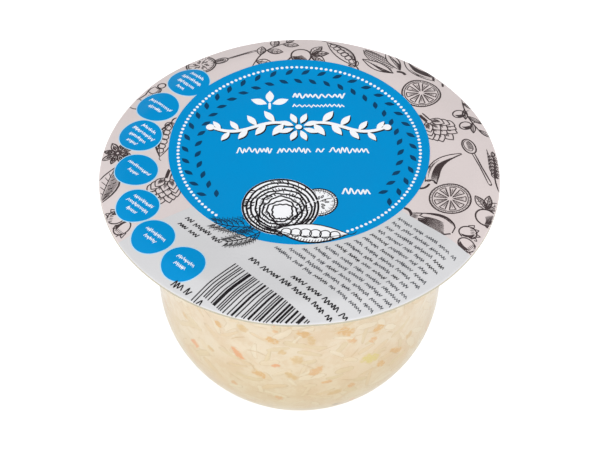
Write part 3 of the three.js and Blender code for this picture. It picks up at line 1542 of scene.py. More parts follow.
def dill_sprig(art: Sketch) -> None:
    """A feathery sprig with fine needles on its side shoots.

    Args:
        art: The drawing that it goes in.
    """
    stem = bowed((0, 0), (11.5, 1.2), 0.08)
    art.line(stem, FINE_PEN * 1.4)
    for k in range(8):
        root = along_path(stem, 0.1 + 0.115 * k)
        for hand in (-1, 1):
            reach = 3.9 - 0.3 * k
            tip = root + reach * np.array([math.cos(0.75), hand * math.sin(0.75)])
            shoot = bowed(root, tip, 0.08 * hand)
            art.line(shoot, FINE_PEN * 0.8)
            for m in range(4):
                foot = along_path(shoot, 0.3 + 0.22 * m)
                for side in (-1, 1):
                    turn = hand * 0.75 + side * 0.6
                    needle = foot + 0.95 * np.array([math.cos(turn), math.sin(turn)])
                    art.line([foot, needle], FINE_PEN * 0.55, 0.7)


def pod_edges() -> tuple[np.ndarray, np.ndarray]:
    """The pea pod's lower and upper edge, from its cap to its tail."""
    return bowed((-6, 0.4), (6, 0.6), -0.2), bowed((-6, 0.4), (6, 0.6), 0.14)


def pea_pod(art: Sketch) -> None:
    """An open pod with its peas, its cap and its tail.

    Args:
        art: The drawing that it goes in.
    """
    lower, upper = pod_edges()
    art.line(upper, PEN * 0.8)
    art.line(lower, PEN * 1.3)
    art.curve((-6, 0.4), (6, 0.6), -0.1, FINE_PEN)
    for k in range(6):
        x = -3.9 + 1.55 * k
        size = 0.95 - 0.05 * abs(k - 2.5)
        art.oval((x, 0.05 + 0.02 * k), size, size, FINE_PEN * 1.3)
        art.curve((x - 0.4, -0.4), (x + 0.5, -0.3), -0.2, FINE_PEN)
    art.leaf((-6, 0.4), (-4.5, 1.7), 0.2, FINE_PEN)
    art.leaf((-6, 0.4), (-4.4, -1.0), 0.2, FINE_PEN)
    art.curve((-6, 0.4), (-7.8, 1.2), 0.15, PEN)
    art.curve((6, 0.6), (7.2, 1.3), -0.2, FINE_PEN)
    art.hatch(lower[2:7], lower[2:7] + np.array([0.25, 0.7]), 14, FINE_PEN)


def wheat_ear(art: Sketch) -> None:
    """An ear of grain on its stalk.

    Args:
        art: The drawing that it goes in.
    """
    stalk = bowed((-8, -1.2), (2, 0.6), 0.06)
    art.line(stalk, PEN)
    for k in range(6):
        x = -1.6 + 1.25 * k
        for hand in (-1, 1):
            root = (x, 0.1 + 0.1 * k + hand * 0.1)
            tip = (x + 1.7, 0.2 + 0.1 * k + hand * 1.15)
            art.leaf(root, tip, 0.25, FINE_PEN * 1.4)
            art.curve(tip, (tip[0] + 2.2, tip[1] + hand * 0.6), hand * 0.04, FINE_PEN, 0.9)
    art.leaf((6, 0.75), (8, 0.95), 0.22, FINE_PEN * 1.4)


def olive_twig(art: Sketch) -> None:
    """A twig with narrow leaves and two fruits.

    Args:
        art: The drawing that it goes in.
    """
    stem = bowed((-6, 1.5), (5.5, -0.5), -0.08)
    art.line(stem, PEN)
    for k in range(5):
        root = along_path(stem, 0.1 + 0.2 * k)
        hand = -1 if k % 2 else 1
        art.leaf(root, root + np.array([3.2, hand * 1.7]), 0.15, FINE_PEN * 1.4, 0, 10)
    for x, y in ((-1.6, -2.0), (2.4, -2.7)):
        art.oval((x, y), 1.15, 1.55, PEN * 0.9, 0.3)
        art.curve((x, y + 1.5), (x - 0.5, y + 2.9), 0.1, FINE_PEN)
        for k in range(5):
            art.curve((x + 0.1 + 0.2 * k, y - 1.1 + 0.1 * k), (x + 0.3 + 0.17 * k, y + 0.9), -0.1, FINE_PEN)


def radish(art: Sketch) -> None:
    """A round root with its tail and three leaves.

    Args:
        art: The drawing that it goes in.
    """
    art.oval((0, 0), 2.7, 2.6, PEN * 1.1)
    art.curve((-0.3, -2.6), (1.6, -5.4), 0.12, PEN, 0.9)
    art.curve((0.3, -2.55), (1.6, -5.4), 0.05, FINE_PEN, 0.9)
    for k in range(13):
        x = -0.3 + 0.21 * k
        depth = math.sqrt(max(2.6**2 - x**2, 0.0))
        art.curve((x, -depth * 0.9), (x + 0.15, depth * (0.1 + 0.055 * k)), -0.12, FINE_PEN * 0.9)
    for tip, breadth in (((-3.1, 6.3), 0.24), ((0.5, 7.4), 0.2), ((3.6, 5.6), 0.24)):
        art.leaf((0, 2.5), tip, breadth, PEN * 0.8, 4, 14)


def star_spice(art: Sketch) -> None:
    """A star of eight pods, each with its seed.

    Args:
        art: The drawing that it goes in.
    """
    for k, azimuth in around(8):
        art.leaf(polar(0.5, azimuth), polar(4.3 - 0.5 * (k % 2), azimuth), 0.2, FINE_PEN * 1.5)
        art.oval(polar(2.2, azimuth), 0.6, 0.3, FINE_PEN * 1.6, azimuth, 12)
    art.oval((0, 0), 0.5, 0.5, PEN)


def wooden_spoon(art: Sketch) -> None:
    """A long spoon with a hatched bowl.

    Args:
        art: The drawing that it goes in.
    """
    art.oval((5.2, 0), 2.5, 1.55, PEN)
    art.oval((5.4, 0.1), 1.8, 1.0, FINE_PEN)
    art.line([(2.8, 0.32), (-2, 0.22), (-7.4, 0.4)], PEN * 0.8)
    art.line([(2.8, -0.32), (-2, -0.22), (-7.4, -0.4)], PEN)
    art.curve((-7.4, 0.4), (-7.4, -0.4), -0.5, PEN)
    for k in range(8):
        art.curve((4.0 + 0.35 * k, -0.8), (4.3 + 0.32 * k, 0.6 - 0.05 * k), -0.1, FINE_PEN)


def pepper_mill(art: Sketch) -> None:
    """A turned mill with its knob.

    Args:
        art: The drawing that it goes in.
    """
    profile = [(-1.9, -4.6), (-1.7, -3.2), (-1.0, -1.6), (-0.8, 0.2), (-1.3, 1.5), (-1.5, 2.6), (-1.1, 3.6)]
    mirrored = [(-x, y) for x, y in profile]
    art.line(profile, PEN)
    art.line(mirrored, PEN * 1.3)
    for left, right in zip(profile[::2], mirrored[::2]):
        art.curve(left, right, -0.1, FINE_PEN * 1.3)
    art.oval((0, 4.6), 0.95, 0.9, PEN)
    art.hatch(np.array(mirrored), np.array(mirrored) - np.array([1.0, 0.0]), 22, FINE_PEN)


def bay_leaf(art: Sketch) -> None:
    """One broad leaf with many veins.

    Args:
        art: The drawing that it goes in.
    """
    art.leaf((-5, -1), (5, 1.2), 0.24, PEN, 7, 30)
    art.curve((-5, -1), (-6.8, -2.2), 0.1, PEN)


def spindle(
    art: Sketch,
    spine: np.ndarray,
    girth: Sequence[float],
    pen: float,
    shades: Sequence[tuple[float, float, float]],
) -> None:
    """Adds a long round body: its two edges and the fine lines that round it.

    Args:
        art: The drawing.
        spine: Points along its middle.
        girth: Half its breadth at even steps along the spine.
        pen: Width of the edges.
        shades: Each fine line's place across, from -1 to 1, and the shares of the length that it spans.
    """
    heading = np.gradient(spine, axis=0)
    heading /= np.hypot(*heading.T)[:, None]
    side = np.stack([-heading[:, 1], heading[:, 0]], axis=1)
    at = np.linspace(0, 1, len(spine))
    half = np.interp(at, np.linspace(0, 1, len(girth)), girth)[:, None]
    for across, weight in ((1.0, pen), (-1.0, pen * 1.4)):
        art.line(spine + side * half * across, weight, 0.3)
    for across, start, end in shades:
        kept = (at >= start) & (at <= end)
        if kept.sum() > 1:
            art.line((spine + side * half * across)[kept], FINE_PEN * 0.8, 0.8)


def chilli_pod(art: Sketch) -> None:
    """A curved pod, dark on its lower side, with its cap and stalk.

    Args:
        art: The drawing that it goes in.
    """
    spine = bowed((-4.2, 0.6), (5.6, -1.6), 0.2, 40)
    shades = [(-0.94 + 0.11 * k, 0.04, 0.97 - 0.05 * k) for k in range(10)]
    shades += [(0.55 + 0.14 * k, 0.1 + 0.1 * k, 0.6 - 0.1 * k) for k in range(3)]
    spindle(art, spine, (1.15, 1.35, 1.25, 1.1, 0.85, 0.5, 0.12), PEN * 0.8, shades)
    art.curve((-4.3, 1.9), (-4.1, -0.7), 0.25, PEN)
    art.curve((-4.3, 1.9), (-3.6, 0.7), -0.15, FINE_PEN * 1.4)
    art.curve((-4.1, -0.7), (-3.4, 0.3), 0.2, FINE_PEN * 1.4)
    art.curve((-4.7, 0.7), (-7.0, 2.3), 0.18, PEN * 1.6, 0.3)


def aubergine(art: Sketch) -> None:
    """A plump fruit, hatched dark all down one side, under its pointed cap.

    Args:
        art: The drawing that it goes in.
    """
    spine = bowed((-3.4, 0.5), (5.2, -0.7), 0.1, 46)
    shades = [(-0.96 + 0.085 * k, 0.02 + 0.012 * k, 0.985 - 0.02 * k) for k in range(16)]
    shades += [(0.78 + 0.07 * k, 0.3 - 0.08 * k, 0.8 + 0.06 * k) for k in range(3)]
    girth = (0.9, 1.1, 1.35, 1.65, 1.95, 2.2, 2.35, 2.4, 2.3, 2.1, 1.65, 0.1)
    spindle(art, spine, girth, PEN * 0.9, shades)
    points = ((-4.2, 1.0), (-2.2, 2.0), (-2.6, 1.1), (-0.6, 0.9), (-2.5, 0.3), (-1.9, -0.8), (-4.1, -0.3))
    cap = np.array(points)
    art.clear_inside(cap)
    art.outline(cap, PEN * 0.8)
    for k in range(4):
        art.line([(-4.0, 0.1 + 0.22 * k), (-2.7, 0.15 + 0.3 * k)], FINE_PEN, 0.7)
    art.curve((-4.1, 0.4), (-6.2, 1.5), -0.2, PEN * 2.0, 0.2)


def corn_cob(art: Sketch) -> None:
    """A cob with its rows of kernels between two husk leaves.

    Args:
        art: The drawing that it goes in.
    """
    spine = bowed((-3.6, 0.0), (5.4, 0.4), 0.03, 60)
    girth = (1.5, 1.7, 1.7, 1.6, 1.4, 1.0, 0.15)
    spindle(art, spine, girth, PEN * 0.7, [(-0.7 + 0.35 * k, 0.0, 0.98) for k in range(5)])
    for k in range(15):
        x = -3.3 + 0.57 * k
        half = float(np.interp(x, np.linspace(-3.6, 5.4, len(girth)), girth)) * 0.97
        art.curve((x, -half + 0.04 * x), (x, half + 0.04 * x), -0.12, FINE_PEN)
    for hand in (-1, 1):
        root = (-4.6, 0.9 * hand)
        husk = leaf_outline(7.6, 0.16, 0.3 * hand, root)
        art.clear_inside(husk)
        art.leaf(root, husk[LEAF_TIP], 0.16, PEN * 0.8)
        for k in range(1, 6):
            end = husk[LEAF_TIP] - (0.6 * k, 0.25 * k * hand)
            art.curve(root, end, 0.04 * k * hand, FINE_PEN * 0.8, 0.8)
    art.curve((-4.6, 0.0), (-6.4, -0.8), 0.2, PEN * 2.2, 0.2)


def artichoke(art: Sketch) -> None:
    """A bud of overlapping scales, each shaded at its foot, on a short stalk.

    Args:
        art: The drawing that it goes in.
    """
    art.line([(-0.45, -3.4), (-0.6, -6.0)], PEN)
    art.line([(0.45, -3.4), (0.35, -6.1)], PEN * 1.4)
    for k in range(4):
        art.line([(0.05 + 0.1 * k, -3.5), (-0.05 + 0.1 * k, -5.9)], FINE_PEN * 0.8)
    for row, (count, reach) in enumerate(((1, 0.0), (2, 1.5), (3, 2.7), (4, 3.7), (3, 2.6), (2, 1.3))):
        for k in range(count):
            share = (k - (count - 1) / 2) / max(count - 1, 1)
            base = (share * reach, 1.0 - 0.95 * row + 0.5 * abs(share))
            scale = leaf_outline(3.1, 0.3, math.pi / 2 - 0.8 * share, base)
            art.clear_inside(scale)
            art.outline(scale, PEN * 0.75)
            tip = scale[LEAF_TIP]
            for m in (-2, -1, 0, 1, 2):
                foot = np.array(base) + (tip - base) * 0.12 + np.array([0.2 * m, 0.0])
                art.line([foot, foot + (tip - base) * (0.62 - 0.1 * abs(m))], FINE_PEN * 0.9, 0.8)


def hazelnut(art: Sketch) -> None:
    """Two nuts in their ragged cups.

    Args:
        art: The drawing that it goes in.
    """
    left = [(-1.7, 0.3), (-1.9, 1.6), (-1.0, 1.3), (-0.7, 2.3), (0.1, 1.5)]
    right = [(0.8, 2.4), (1.0, 1.3), (1.9, 1.5), (1.7, 0.3)]
    for x, y, turn in ((-1.5, -0.2, 0.4), (1.5, 0.3, -0.5)):
        nut = Sketch()
        nut.oval((0, 0), 1.5, 1.75, PEN * 0.9)
        for k in range(7):
            reach = 0.35 + 0.15 * k
            nut.curve((reach, -1.7 + reach * 0.6), (reach * 1.05, 1.5 - reach * 0.7), -0.12, FINE_PEN * 0.9)
        nut.line(left + right, PEN * 0.7, 0.1)
        for k in range(8):
            nut.line([(-1.4 + 0.4 * k, 0.5), (-1.3 + 0.37 * k, 1.35)], FINE_PEN * 0.9)
        art.clear_inside(oval_points((x, y), 1.8, 2.1, turn))
        art.add(nut.placed((x, y), turn))


# Each drawing on the blush ground: what it is, its middle in millimetres, its turn in degrees, its scale.
PATTERN: tuple[tuple[Motif, float, float, float, float], ...] = (
    (aubergine, 30.0, -17.2, 333, 1.17),
    (radish, 43.4, -14.4, 355, 0.93),
    (chilli_pod, 30.0, 36.0, 147, 1.07),
    (artichoke, -31.8, -6.6, 169, 1.17),
    (pea_pod, -32.4, 10.4, 257, 0.98),
    (corn_cob, 20.4, 38.4, 128, 1.21),
    (pepper_mill, -37.0, 26.2, 316, 1.06),
    (bay_leaf, -45.0, -4.2, 61, 1.14),
    (citrus_slice, 29.6, 26.4, 231, 1.09),
    (leafy_sprig, -7.4, 41.2, 37, 1.2),
    (olive_twig, 41.2, 19.0, 299, 1.1),
    (wheat_ear, 46.6, -0.2, 88, 0.94),
    (radish, 0.4, 39.6, 282, 0.94),
    (wooden_spoon, -15.9, 39.9, 202, 0.7),
    (citrus_slice, 35.2, -9.4, 157, 1.11),
    (star_spice, -43.2, 6.2, 112, 0.98),
    (chilli_pod, 33.8, 0.2, 63, 1.18),
    (artichoke, 33.6, 13.6, 220, 1.18),
    (wooden_spoon, 42.2, 3.0, 111, 0.99),
    (pea_pod, 10.8, 41.0, 124, 1.03),
    (cucumber_slice, -24.2, 37.4, 64, 0.96),
    (hazelnut, -41.8, -16.2, 106, 1.22),
    (hazelnut, 38.6, -21.6, 253, 1.2),
)


@dataclass(frozen=True)
class Palette:
    """The label's inks, each with the tone that it drifts to."""

    mottle: Tree
    # The film's own colour shows only at its edge and underside. Its dark olive-grey is partly the edge line
    # and partly painted shadow under the film's edge.
    film_edge_and_shadow: tuple[Colour, Colour] = (srgb(180, 174, 156), srgb(172, 166, 148))
    blush: tuple[Colour, Colour] = (srgb(222, 211, 210), srgb(217, 205, 203))
    grey: tuple[Colour, Colour] = (srgb(213, 213, 215), srgb(208, 208, 210))
    blue: tuple[Colour, Colour] = (srgb(0, 146, 212), srgb(0, 142, 208))
    sky: tuple[Colour, Colour] = (srgb(186, 222, 240), srgb(176, 214, 236))
    navy: tuple[Colour, Colour] = (srgb(14, 66, 104), srgb(18, 72, 110))
    white: tuple[Colour, Colour] = (srgb(251, 252, 255), srgb(246, 248, 252))
    black: tuple[Colour, Colour] = (srgb(30, 28, 31), srgb(42, 38, 41))
    sepia: tuple[Colour, Colour] = (srgb(66, 56, 57), srgb(82, 70, 70))
    slate: tuple[Colour, Colour] = (srgb(72, 74, 80), srgb(88, 90, 96))

    def ink(self, name: str) -> PrintFinish:
        """The finish of one ink."""
        full, worn = getattr(self, name)
        return PrintFinish(f"{name}_ink", self.mottle, full, worn)


def strip(left: np.ndarray, right: np.ndarray, closed: bool) -> Mesh:
    """A closed strip between two edges; the third coordinate is 1 on top and 0 below.

    Args:
        left: One edge's points.
        right: The other edge's points.
        closed: Whether its ends meet.

    Returns:
        Its mesh.
    """
    n = len(left)
    corners = np.zeros((n, 4, 3))
    corners[:, 0, :2] = corners[:, 3, :2] = left
    corners[:, 1, :2] = corners[:, 2, :2] = right
    corners[:, :2, 2] = 1.0
    faces: list[tuple[int, ...]] = []
    for i in range(n if closed else n - 1):
        a, b = 4 * i, 4 * ((i + 1) % n)
        faces += [(a + 1, b + 1, b, a), (a + 2, b + 2, b + 1, a + 1)]
        faces += [(a, b, b + 3, a + 3), (a + 3, b + 3, b + 2, a + 2)]
    if not closed:
        end = 4 * (n - 1)
        faces += [(1, 0, 3, 2), (end, end + 1, end + 2, end + 3)]
    return corners.reshape(-1, 3), faces


def doubled(flat: np.ndarray) -> np.ndarray:
    """Flat points on top, with 1 as the third coordinate, and again below, with 0.

    Args:
        flat: One point a row.

    Returns:
        Twice as many points, with their third coordinate.
    """
    vertices = np.zeros((2 * len(flat), 3))
    vertices[:, :2] = np.concatenate([flat, flat])
    vertices[: len(flat), 2] = 1.0
    return vertices


def slab(grid: np.ndarray) -> Mesh:
    """A closed slab over a grid of points, anticlockwise in its first and then second index.

    Args:
        grid: The points.

    Returns:
        Its mesh.
    """
    n, m = grid.shape[:2]
    count = n * m
    faces: list[tuple[int, ...]] = []
    for i in range(n - 1):
        for j in range(m - 1):
            a, b = i * m + j, (i + 1) * m + j
            faces += [(a, a + 1, b + 1, b), (count + b, count + b + 1, count + a + 1, count + a)]
    rim = [i * m for i in range(n)] + [(n - 1) * m + j for j in range(1, m)]
    rim += [i * m + m - 1 for i in range(n - 2, -1, -1)] + list(range(m - 2, 0, -1))
    faces += [(a, b, count + b, count + a) for a, b in zip(rim, rim[1:] + rim[:1])]
    return doubled(grid.reshape(-1, 2)), faces


@dataclass(frozen=True)
class Press:
    """Lays drawings on the film as thin closed ink.

    Its step, sunk and nudge are in metres. Its pitch, margin and ring step are in millimetres, as the
    drawings are.
    """

    film: Film
    palette: Palette
    step: float = 0.012 * MM
    sunk: float = 0.02 * MM
    pitch: float = 0.45
    margin: float = 0.05
    ring_step: float = 1.2
    nudge: float = 0.00036 * MM
    nudges: int = 32

    def top(self, layer: Layer) -> float:
        """How far a layer's top stands over the film."""
        return self.step * layer

    def ribbon(self, line: Line) -> Mesh | None:
        """A pen line as a closed flat ribbon, or nothing where it is off the film.

        Args:
            line: The line, in millimetres.

        Returns:
            Its mesh, or nothing.
        """
        points = self.resampled(line)
        edge = self.film.print_radius / MM - self.margin
        if line.closed and (np.hypot(*points.T) > edge).any():
            points = np.concatenate([points, points[:1]])
            line = Line(points, line.width, line.taper, False)
        if not line.closed:
            kept = runs(points, np.hypot(*points.T) < edge)
            if not kept:
                return None
            points = max(kept, key=len)
        if line.closed:
            heading = np.roll(points, -1, axis=0) - np.roll(points, 1, axis=0)
        else:
            heading = np.gradient(points, axis=0)
        heading /= np.maximum(np.hypot(*heading.T), LEAST_LENGTH)[:, None]
        left = np.stack([-heading[:, 1], heading[:, 0]], axis=1)
        share = np.linspace(-1, 1, len(points))[:, None]
        half = line.width / 2 * (1 - line.taper * share**4)
        sides = (points + left * half, points - left * half)
        return strip(*(held_within(side, edge) for side in sides), line.closed)

    def resampled(self, line: Line) -> np.ndarray:
        """A line's points, with more between those that lie far apart.

        Args:
            line: The line.

        Returns:
            Its points, the first not repeated where it is closed.
        """
        points = np.concatenate([line.points, line.points[:1]]) if line.closed else line.points
        gaps = np.hypot(*np.diff(points, axis=0).T)
        dense = [
            a + (b - a) * share
            for a, b, gap in zip(points, points[1:], gaps)
            for share in np.arange(0, 1, 1 / max(math.ceil(gap / self.pitch), 1))[:, None]
        ]
        return np.array(dense if line.closed else [*dense, points[-1]])

    def patch(self, outline: np.ndarray) -> Mesh:
        """A filled outline, fanned from its middle in rings so that it follows the film.

        Args:
            outline: Its edge, anticlockwise.

        Returns:
            Its mesh.
        """
        middle = outline.mean(axis=0)
        size = np.hypot(*(outline - middle).T).max()
        rings = max(int(size / self.ring_step), 1)
        n = len(outline)
        loops = [middle + (outline - middle) * (1 - k / rings) for k in range(rings)]
        flat = np.concatenate([*loops, middle[None, :]])
        count = len(flat)
        faces: list[tuple[int, ...]] = []
        for i in range(n):
            j = (i + 1) % n
            for k in range(rings - 1):
                a, b, c, d = k * n + i, k * n + j, (k + 1) * n + j, (k + 1) * n + i
                faces += [(a, b, c, d), (count + d, count + c, count + b, count + a)]
            a, b, c = (rings - 1) * n + i, (rings - 1) * n + j, count - 1
            faces += [(a, b, c), (count + c, count + b, count + a), (i, count + i, count + j, j)]
        return doubled(flat), faces

    def laid(self, name: str, parts: Sequence[Mesh], layer: Layer) -> Piece:
        """Flat meshes in millimetres as one piece of ink on the film.

        Args:
            name: The piece's name.
            parts: Each part, with 1 as the third coordinate on top and 0 below.
            layer: The layer that it tops.

        Returns:
            The new piece, still without its ink.
        """
        solid: list[Mesh] = []
        for k, (points, faces) in enumerate(parts):
            top = self.top(layer) + self.nudge * (k % self.nudges)
            height = np.where(points[:, 2] > 0.5, top, -self.sunk)
            solid.append((np.column_stack([points[:, :2] * MM, height]), faces))
        piece = mesh_piece(name, solid)
        self.film.drape(piece)
        return piece

    def inked(self, piece: Piece, ink: str, node: str | None = None) -> None:
        """Gives a piece one of the palette's inks, and the frame's node that it stands for, if any."""
        finish_piece(piece, self.palette.ink(ink).build(), node)

    def printed(self, name: str, art: Sketch, layer: Layer, ink: str) -> None:
        """Prints a drawing as one piece of ink on the film.

        Args:
            name: The piece's name.
            art: The drawing, in millimetres on the film.
            layer: The layer that it tops.
            ink: Which of the palette's inks.
        """
        ribbons = [self.ribbon(line) for line in art.lines]
        parts = [self.patch(outline) for outline in art.patches]
        parts += [ribbon for ribbon in ribbons if ribbon is not None]
        self.inked(self.laid(name, parts, layer), ink)

    def disc(self, name: str, centre: Point, radius: float, layer: Layer, ink: str) -> None:
        """Prints a large round area of ink, in metres on the film.

        Args:
            name: The piece's name.
            centre: Its middle.
            radius: Its radius.
            layer: The layer that it tops.
            ink: Which of the palette's inks.
        """
        self.inked(self.film.sheet(name, centre, radius, -self.sunk, self.top(layer)), ink)


@dataclass(frozen=True)
class Label:
    """The print on the film, in millimetres on the film."""

    press: Press
    disc_centre: Point = (-0.08, 7.0)
    disc_radius: float = 31.1
    ring_centre: Point = (-0.06, 6.65)
    dot_ring: float = 28.8
    dot_count: int = 150
    dot_size: float = 0.37
    gap_from: float = math.radians(228.5)
    gap_to: float = math.radians(289.5)
    dot_corners: int = 12
    wreath_radius: float = 25.6
    wreath_spread: float = 0.72
    wreath_span: tuple[float, float] = (math.radians(219), math.radians(-37))
    wreath_leaves: int = 62
    wreath_splay: float = math.radians(38)
    field_from: tuple[float, float] = (math.radians(217.3), math.radians(215.0))
    field_to: float = math.radians(319.7)
    field_margin: float = 0.01
    field_under: float = 1.0
    field_turns: int = 90
    field_rings: int = 40
    field_crowding: float = 1.6
    badges: tuple[Point, ...] = (
        (-27.0, 30.4),
        (-34.2, 21.5),
        (-38.0, 11.6),
        (-38.5, 0.0),
        (-37.7, -11.7),
        (-33.7, -21.6),
        (-26.5, -30.1),
    )
    badge_lines: tuple[int, ...] = (4, 2, 4, 2, 3, 2, 2)
    badge_radius: float = 5.1
    badge_outline: float = 0.22
    badge_corners: int = 64
    badge_margin: float = 0.9
    badge_pitch: float = 1.9
    badge_fill: tuple[float, float] = (0.62, 0.86)
    badge_last_row: float = 0.6
    badge_script: tuple[float, float] = (1.2, 0.14)
    badge_seed: int = 7
    title_at: Point = (-0.2, 14.6)
    title_shadow_at: Point = (0.26, -0.36)
    title_shadow_fatter: float = 0.1
    vine_span: tuple[float, float, int] = (2.6, 20.6, 46)
    vine_rise: float = 1.5
    vine_wave: float = 3.4
    vine_pen: tuple[float, float] = (0.95, 0.3)
    vine_leaves: int = 8
    vine_leaf_from: float = 3.6
    vine_leaf_pitch: float = 2.15
    vine_leaf_splay: float = math.radians(56)
    petals: int = 8
    white_seed: int = 11
    subtitle_from: Point = (-14.9, 6.6)
    subtitle_words: tuple[float, ...] = (8.4, 8.0, 2.0, 9.4)
    subtitle_gap: float = 1.2
    subtitle_script: tuple[float, float] = (1.9, 0.34)
    white_words: tuple[tuple[Point, float, float, float], ...] = (
        ((10.0, -7.2), 6.6, 2.3, 0.4),
        ((-1.6, 25.4), 12.6, 1.7, 0.4),
        ((-1.6, 21.9), 12.4, 1.1, 0.3),
    )
    sprout_at: Point = (-7.2, 22.3)
    sprout_stalk: tuple[Point, Point] = ((-7.2, 20.8), (-7.2, 22.9))
    sprout_headings: tuple[float, ...] = (22, 90, 158)
    row_heading: float = math.radians(-44.5)
    stripe_seed: int = 31
    stripe_module: float = 0.264
    stripe_span: tuple[float, float] = (10.6, 35.4)
    stripe_rows: tuple[float, float] = (31.6, 43.4)
    stripe_long_to: float = 46.3
    stripe_long: tuple[tuple[float, float], ...] = ((0.0, 11.6), (22.4, 23.8))
    stripe_points: int = 30
    small_seed: int = 5
    small_rows: tuple[float, float, int] = (-5.05, 21.6, 14)
    small_script: tuple[float, float] = (1.15, 0.17)
    small_words: tuple[float, float] = (1.6, 5.5)
    small_gap: float = 0.8
    small_end: float = 1.0
    small_bold_share: float = 0.16
    small_clear_disc: float = 1.2
    small_clear_rim: float = 0.6
    small_clear_side: float = 0.02
    small_reach: tuple[float, float, int] = (8, 45.1, 400)
    # Each bolder row: how far across the rows, where it starts and ends, its waves' height and its pen.
    bold_rows: tuple[tuple[float, float, float, float, float], ...] = (
        (25.3, 22.5, 41.6, 1.5, 0.27),
        (27.9, 11.8, 40.4, 1.5, 0.27),
        (29.4, -7.9, 3.6, 1.4, 0.23),
        (31.8, -7.8, -1.7, 1.4, 0.23),
        (44.9, 4.2, 9.4, 2.2, 0.28),
        (44.9, 12.1, 14.6, 2.2, 0.28),
    )
    pod_at: tuple[Point, float, float] = ((2.6, -20.8), math.radians(-6), 1.45)

    def row_point(self, u: float, v: float) -> Point:
        """A point from its place along the text rows and across them."""
        c, s = math.cos(self.row_heading), math.sin(self.row_heading)
        return (u * c + v * s, u * s - v * c)

    def ring_point(self, radius: float, azimuth: float) -> Point:
        """A point at a distance and azimuth from the middle of the ring of dots."""
        x, y = polar(radius, azimuth)
        return (self.ring_centre[0] + x, self.ring_centre[1] + y)

    def build_film(self) -> None:
        """The film under the print, which stands for the lid. Its edge is coloured dark olive-grey, partly
        the film's own edge line and partly painted shadow under the edge.
        """
        film = self.press.film
        piece = film.sheet("film", (0.0, 0.0), film.radius, -film.thickness, 0.0, film.lip)
        self.press.inked(piece, "film_edge_and_shadow", "lid")

    def build_ground(self) -> None:
        """The blush ground of the print, out to a hair short of the film's edge."""
        radius = self.press.film.print_radius
        self.press.disc("blush_ground", (0.0, 0.0), radius, Layer.GROUND, "blush")

    def build_field(self) -> None:
        """The grey field: a sector seen from the disc's middle, out to the film's edge."""
        middle = np.array(self.disc_centre)
        edge = self.press.film.print_radius / MM - self.field_margin
        near, far = (
            np.stack([np.cos(azimuth), np.sin(azimuth)], axis=1)
            for azimuth in (np.linspace(start, self.field_to, self.field_turns) for start in self.field_from)
        )
        along = far @ middle
        reach = -along + np.sqrt(along**2 - middle @ middle + edge**2)
        start = middle + near * (self.disc_radius - self.field_under)
        end = middle + far * reach[:, None]
        share = (1 - (1 - np.linspace(0, 1, self.field_rings)) ** self.field_crowding)[None, :, None]
        grid = start[:, None] + (end - start)[:, None] * share
        piece = self.press.laid("grey_field", [slab(grid)], Layer.FIELD)
        shade_smooth(piece)
        self.press.inked(piece, "grey")

    def build_disc(self) -> None:
        """The large blue disc."""
        centre = (self.disc_centre[0] * MM, self.disc_centre[1] * MM)
        self.press.disc("blue_disc", centre, self.disc_radius * MM, Layer.DISC, "blue")

    def build_badges(self) -> None:
        """The row of small blue discs, each with a pale outline and a few scribbled rows."""
        rims, discs, words = Sketch(), Sketch(), Sketch()
        draw = Random(self.badge_seed)
        for centre, lines in zip(self.badges, self.badge_lines):
            rims.dot(centre, self.badge_radius + self.badge_outline, self.badge_corners)
            discs.dot(centre, self.badge_radius, self.badge_corners)
            for k in range(lines):
                across = self.badge_pitch * ((lines - 1) / 2 - k)
                room = 2 * math.sqrt((self.badge_radius - self.badge_margin) ** 2 - across**2)
                share = self.badge_last_row if k == lines - 1 else 1.0
                length = room * draw.uniform(*self.badge_fill) * share
                row = scribble((-length / 2, across), length, *self.badge_script, draw)
                words.add(row.placed(centre, self.row_heading))
        self.press.printed("badge_rims", rims, Layer.RING, "sky")
        self.press.printed("badge_discs", discs, Layer.DISC, "blue")
        self.press.printed("badge_rows", words, Layer.FILL, "white")

    def build_dots(self) -> None:
        """The ring of white dots, open where the still life stands."""
        art = Sketch()
        for _, azimuth in around(self.dot_count):
            if not self.gap_from < azimuth < self.gap_to:
                art.dot(self.ring_point(self.dot_ring, azimuth), self.dot_size, self.dot_corners)
        self.press.printed("dot_ring", art, Layer.FILL, "white")

    def build_wreath(self) -> None:
        """Small dark leaves in pairs on an arc inside the ring of dots."""
        art = Sketch()
        start, end = self.wreath_span
        for k in range(self.wreath_leaves):
            azimuth = start + (end - start) * k / (self.wreath_leaves - 1)
            hand = 1 if k % 2 else -1
            base = self.ring_point(self.wreath_radius + self.wreath_spread * hand, azimuth)
            heading = azimuth - math.pi / 2 + hand * self.wreath_splay
            art.patches.append(leaf_outline(2.6, 0.22, heading, base))
        self.press.printed("wreath", art, Layer.FILL, "navy")

    def vine_height(self, x: float) -> float:
        """The vine stem's height at a place along it."""
        return self.vine_rise * math.sin(x / self.vine_wave)

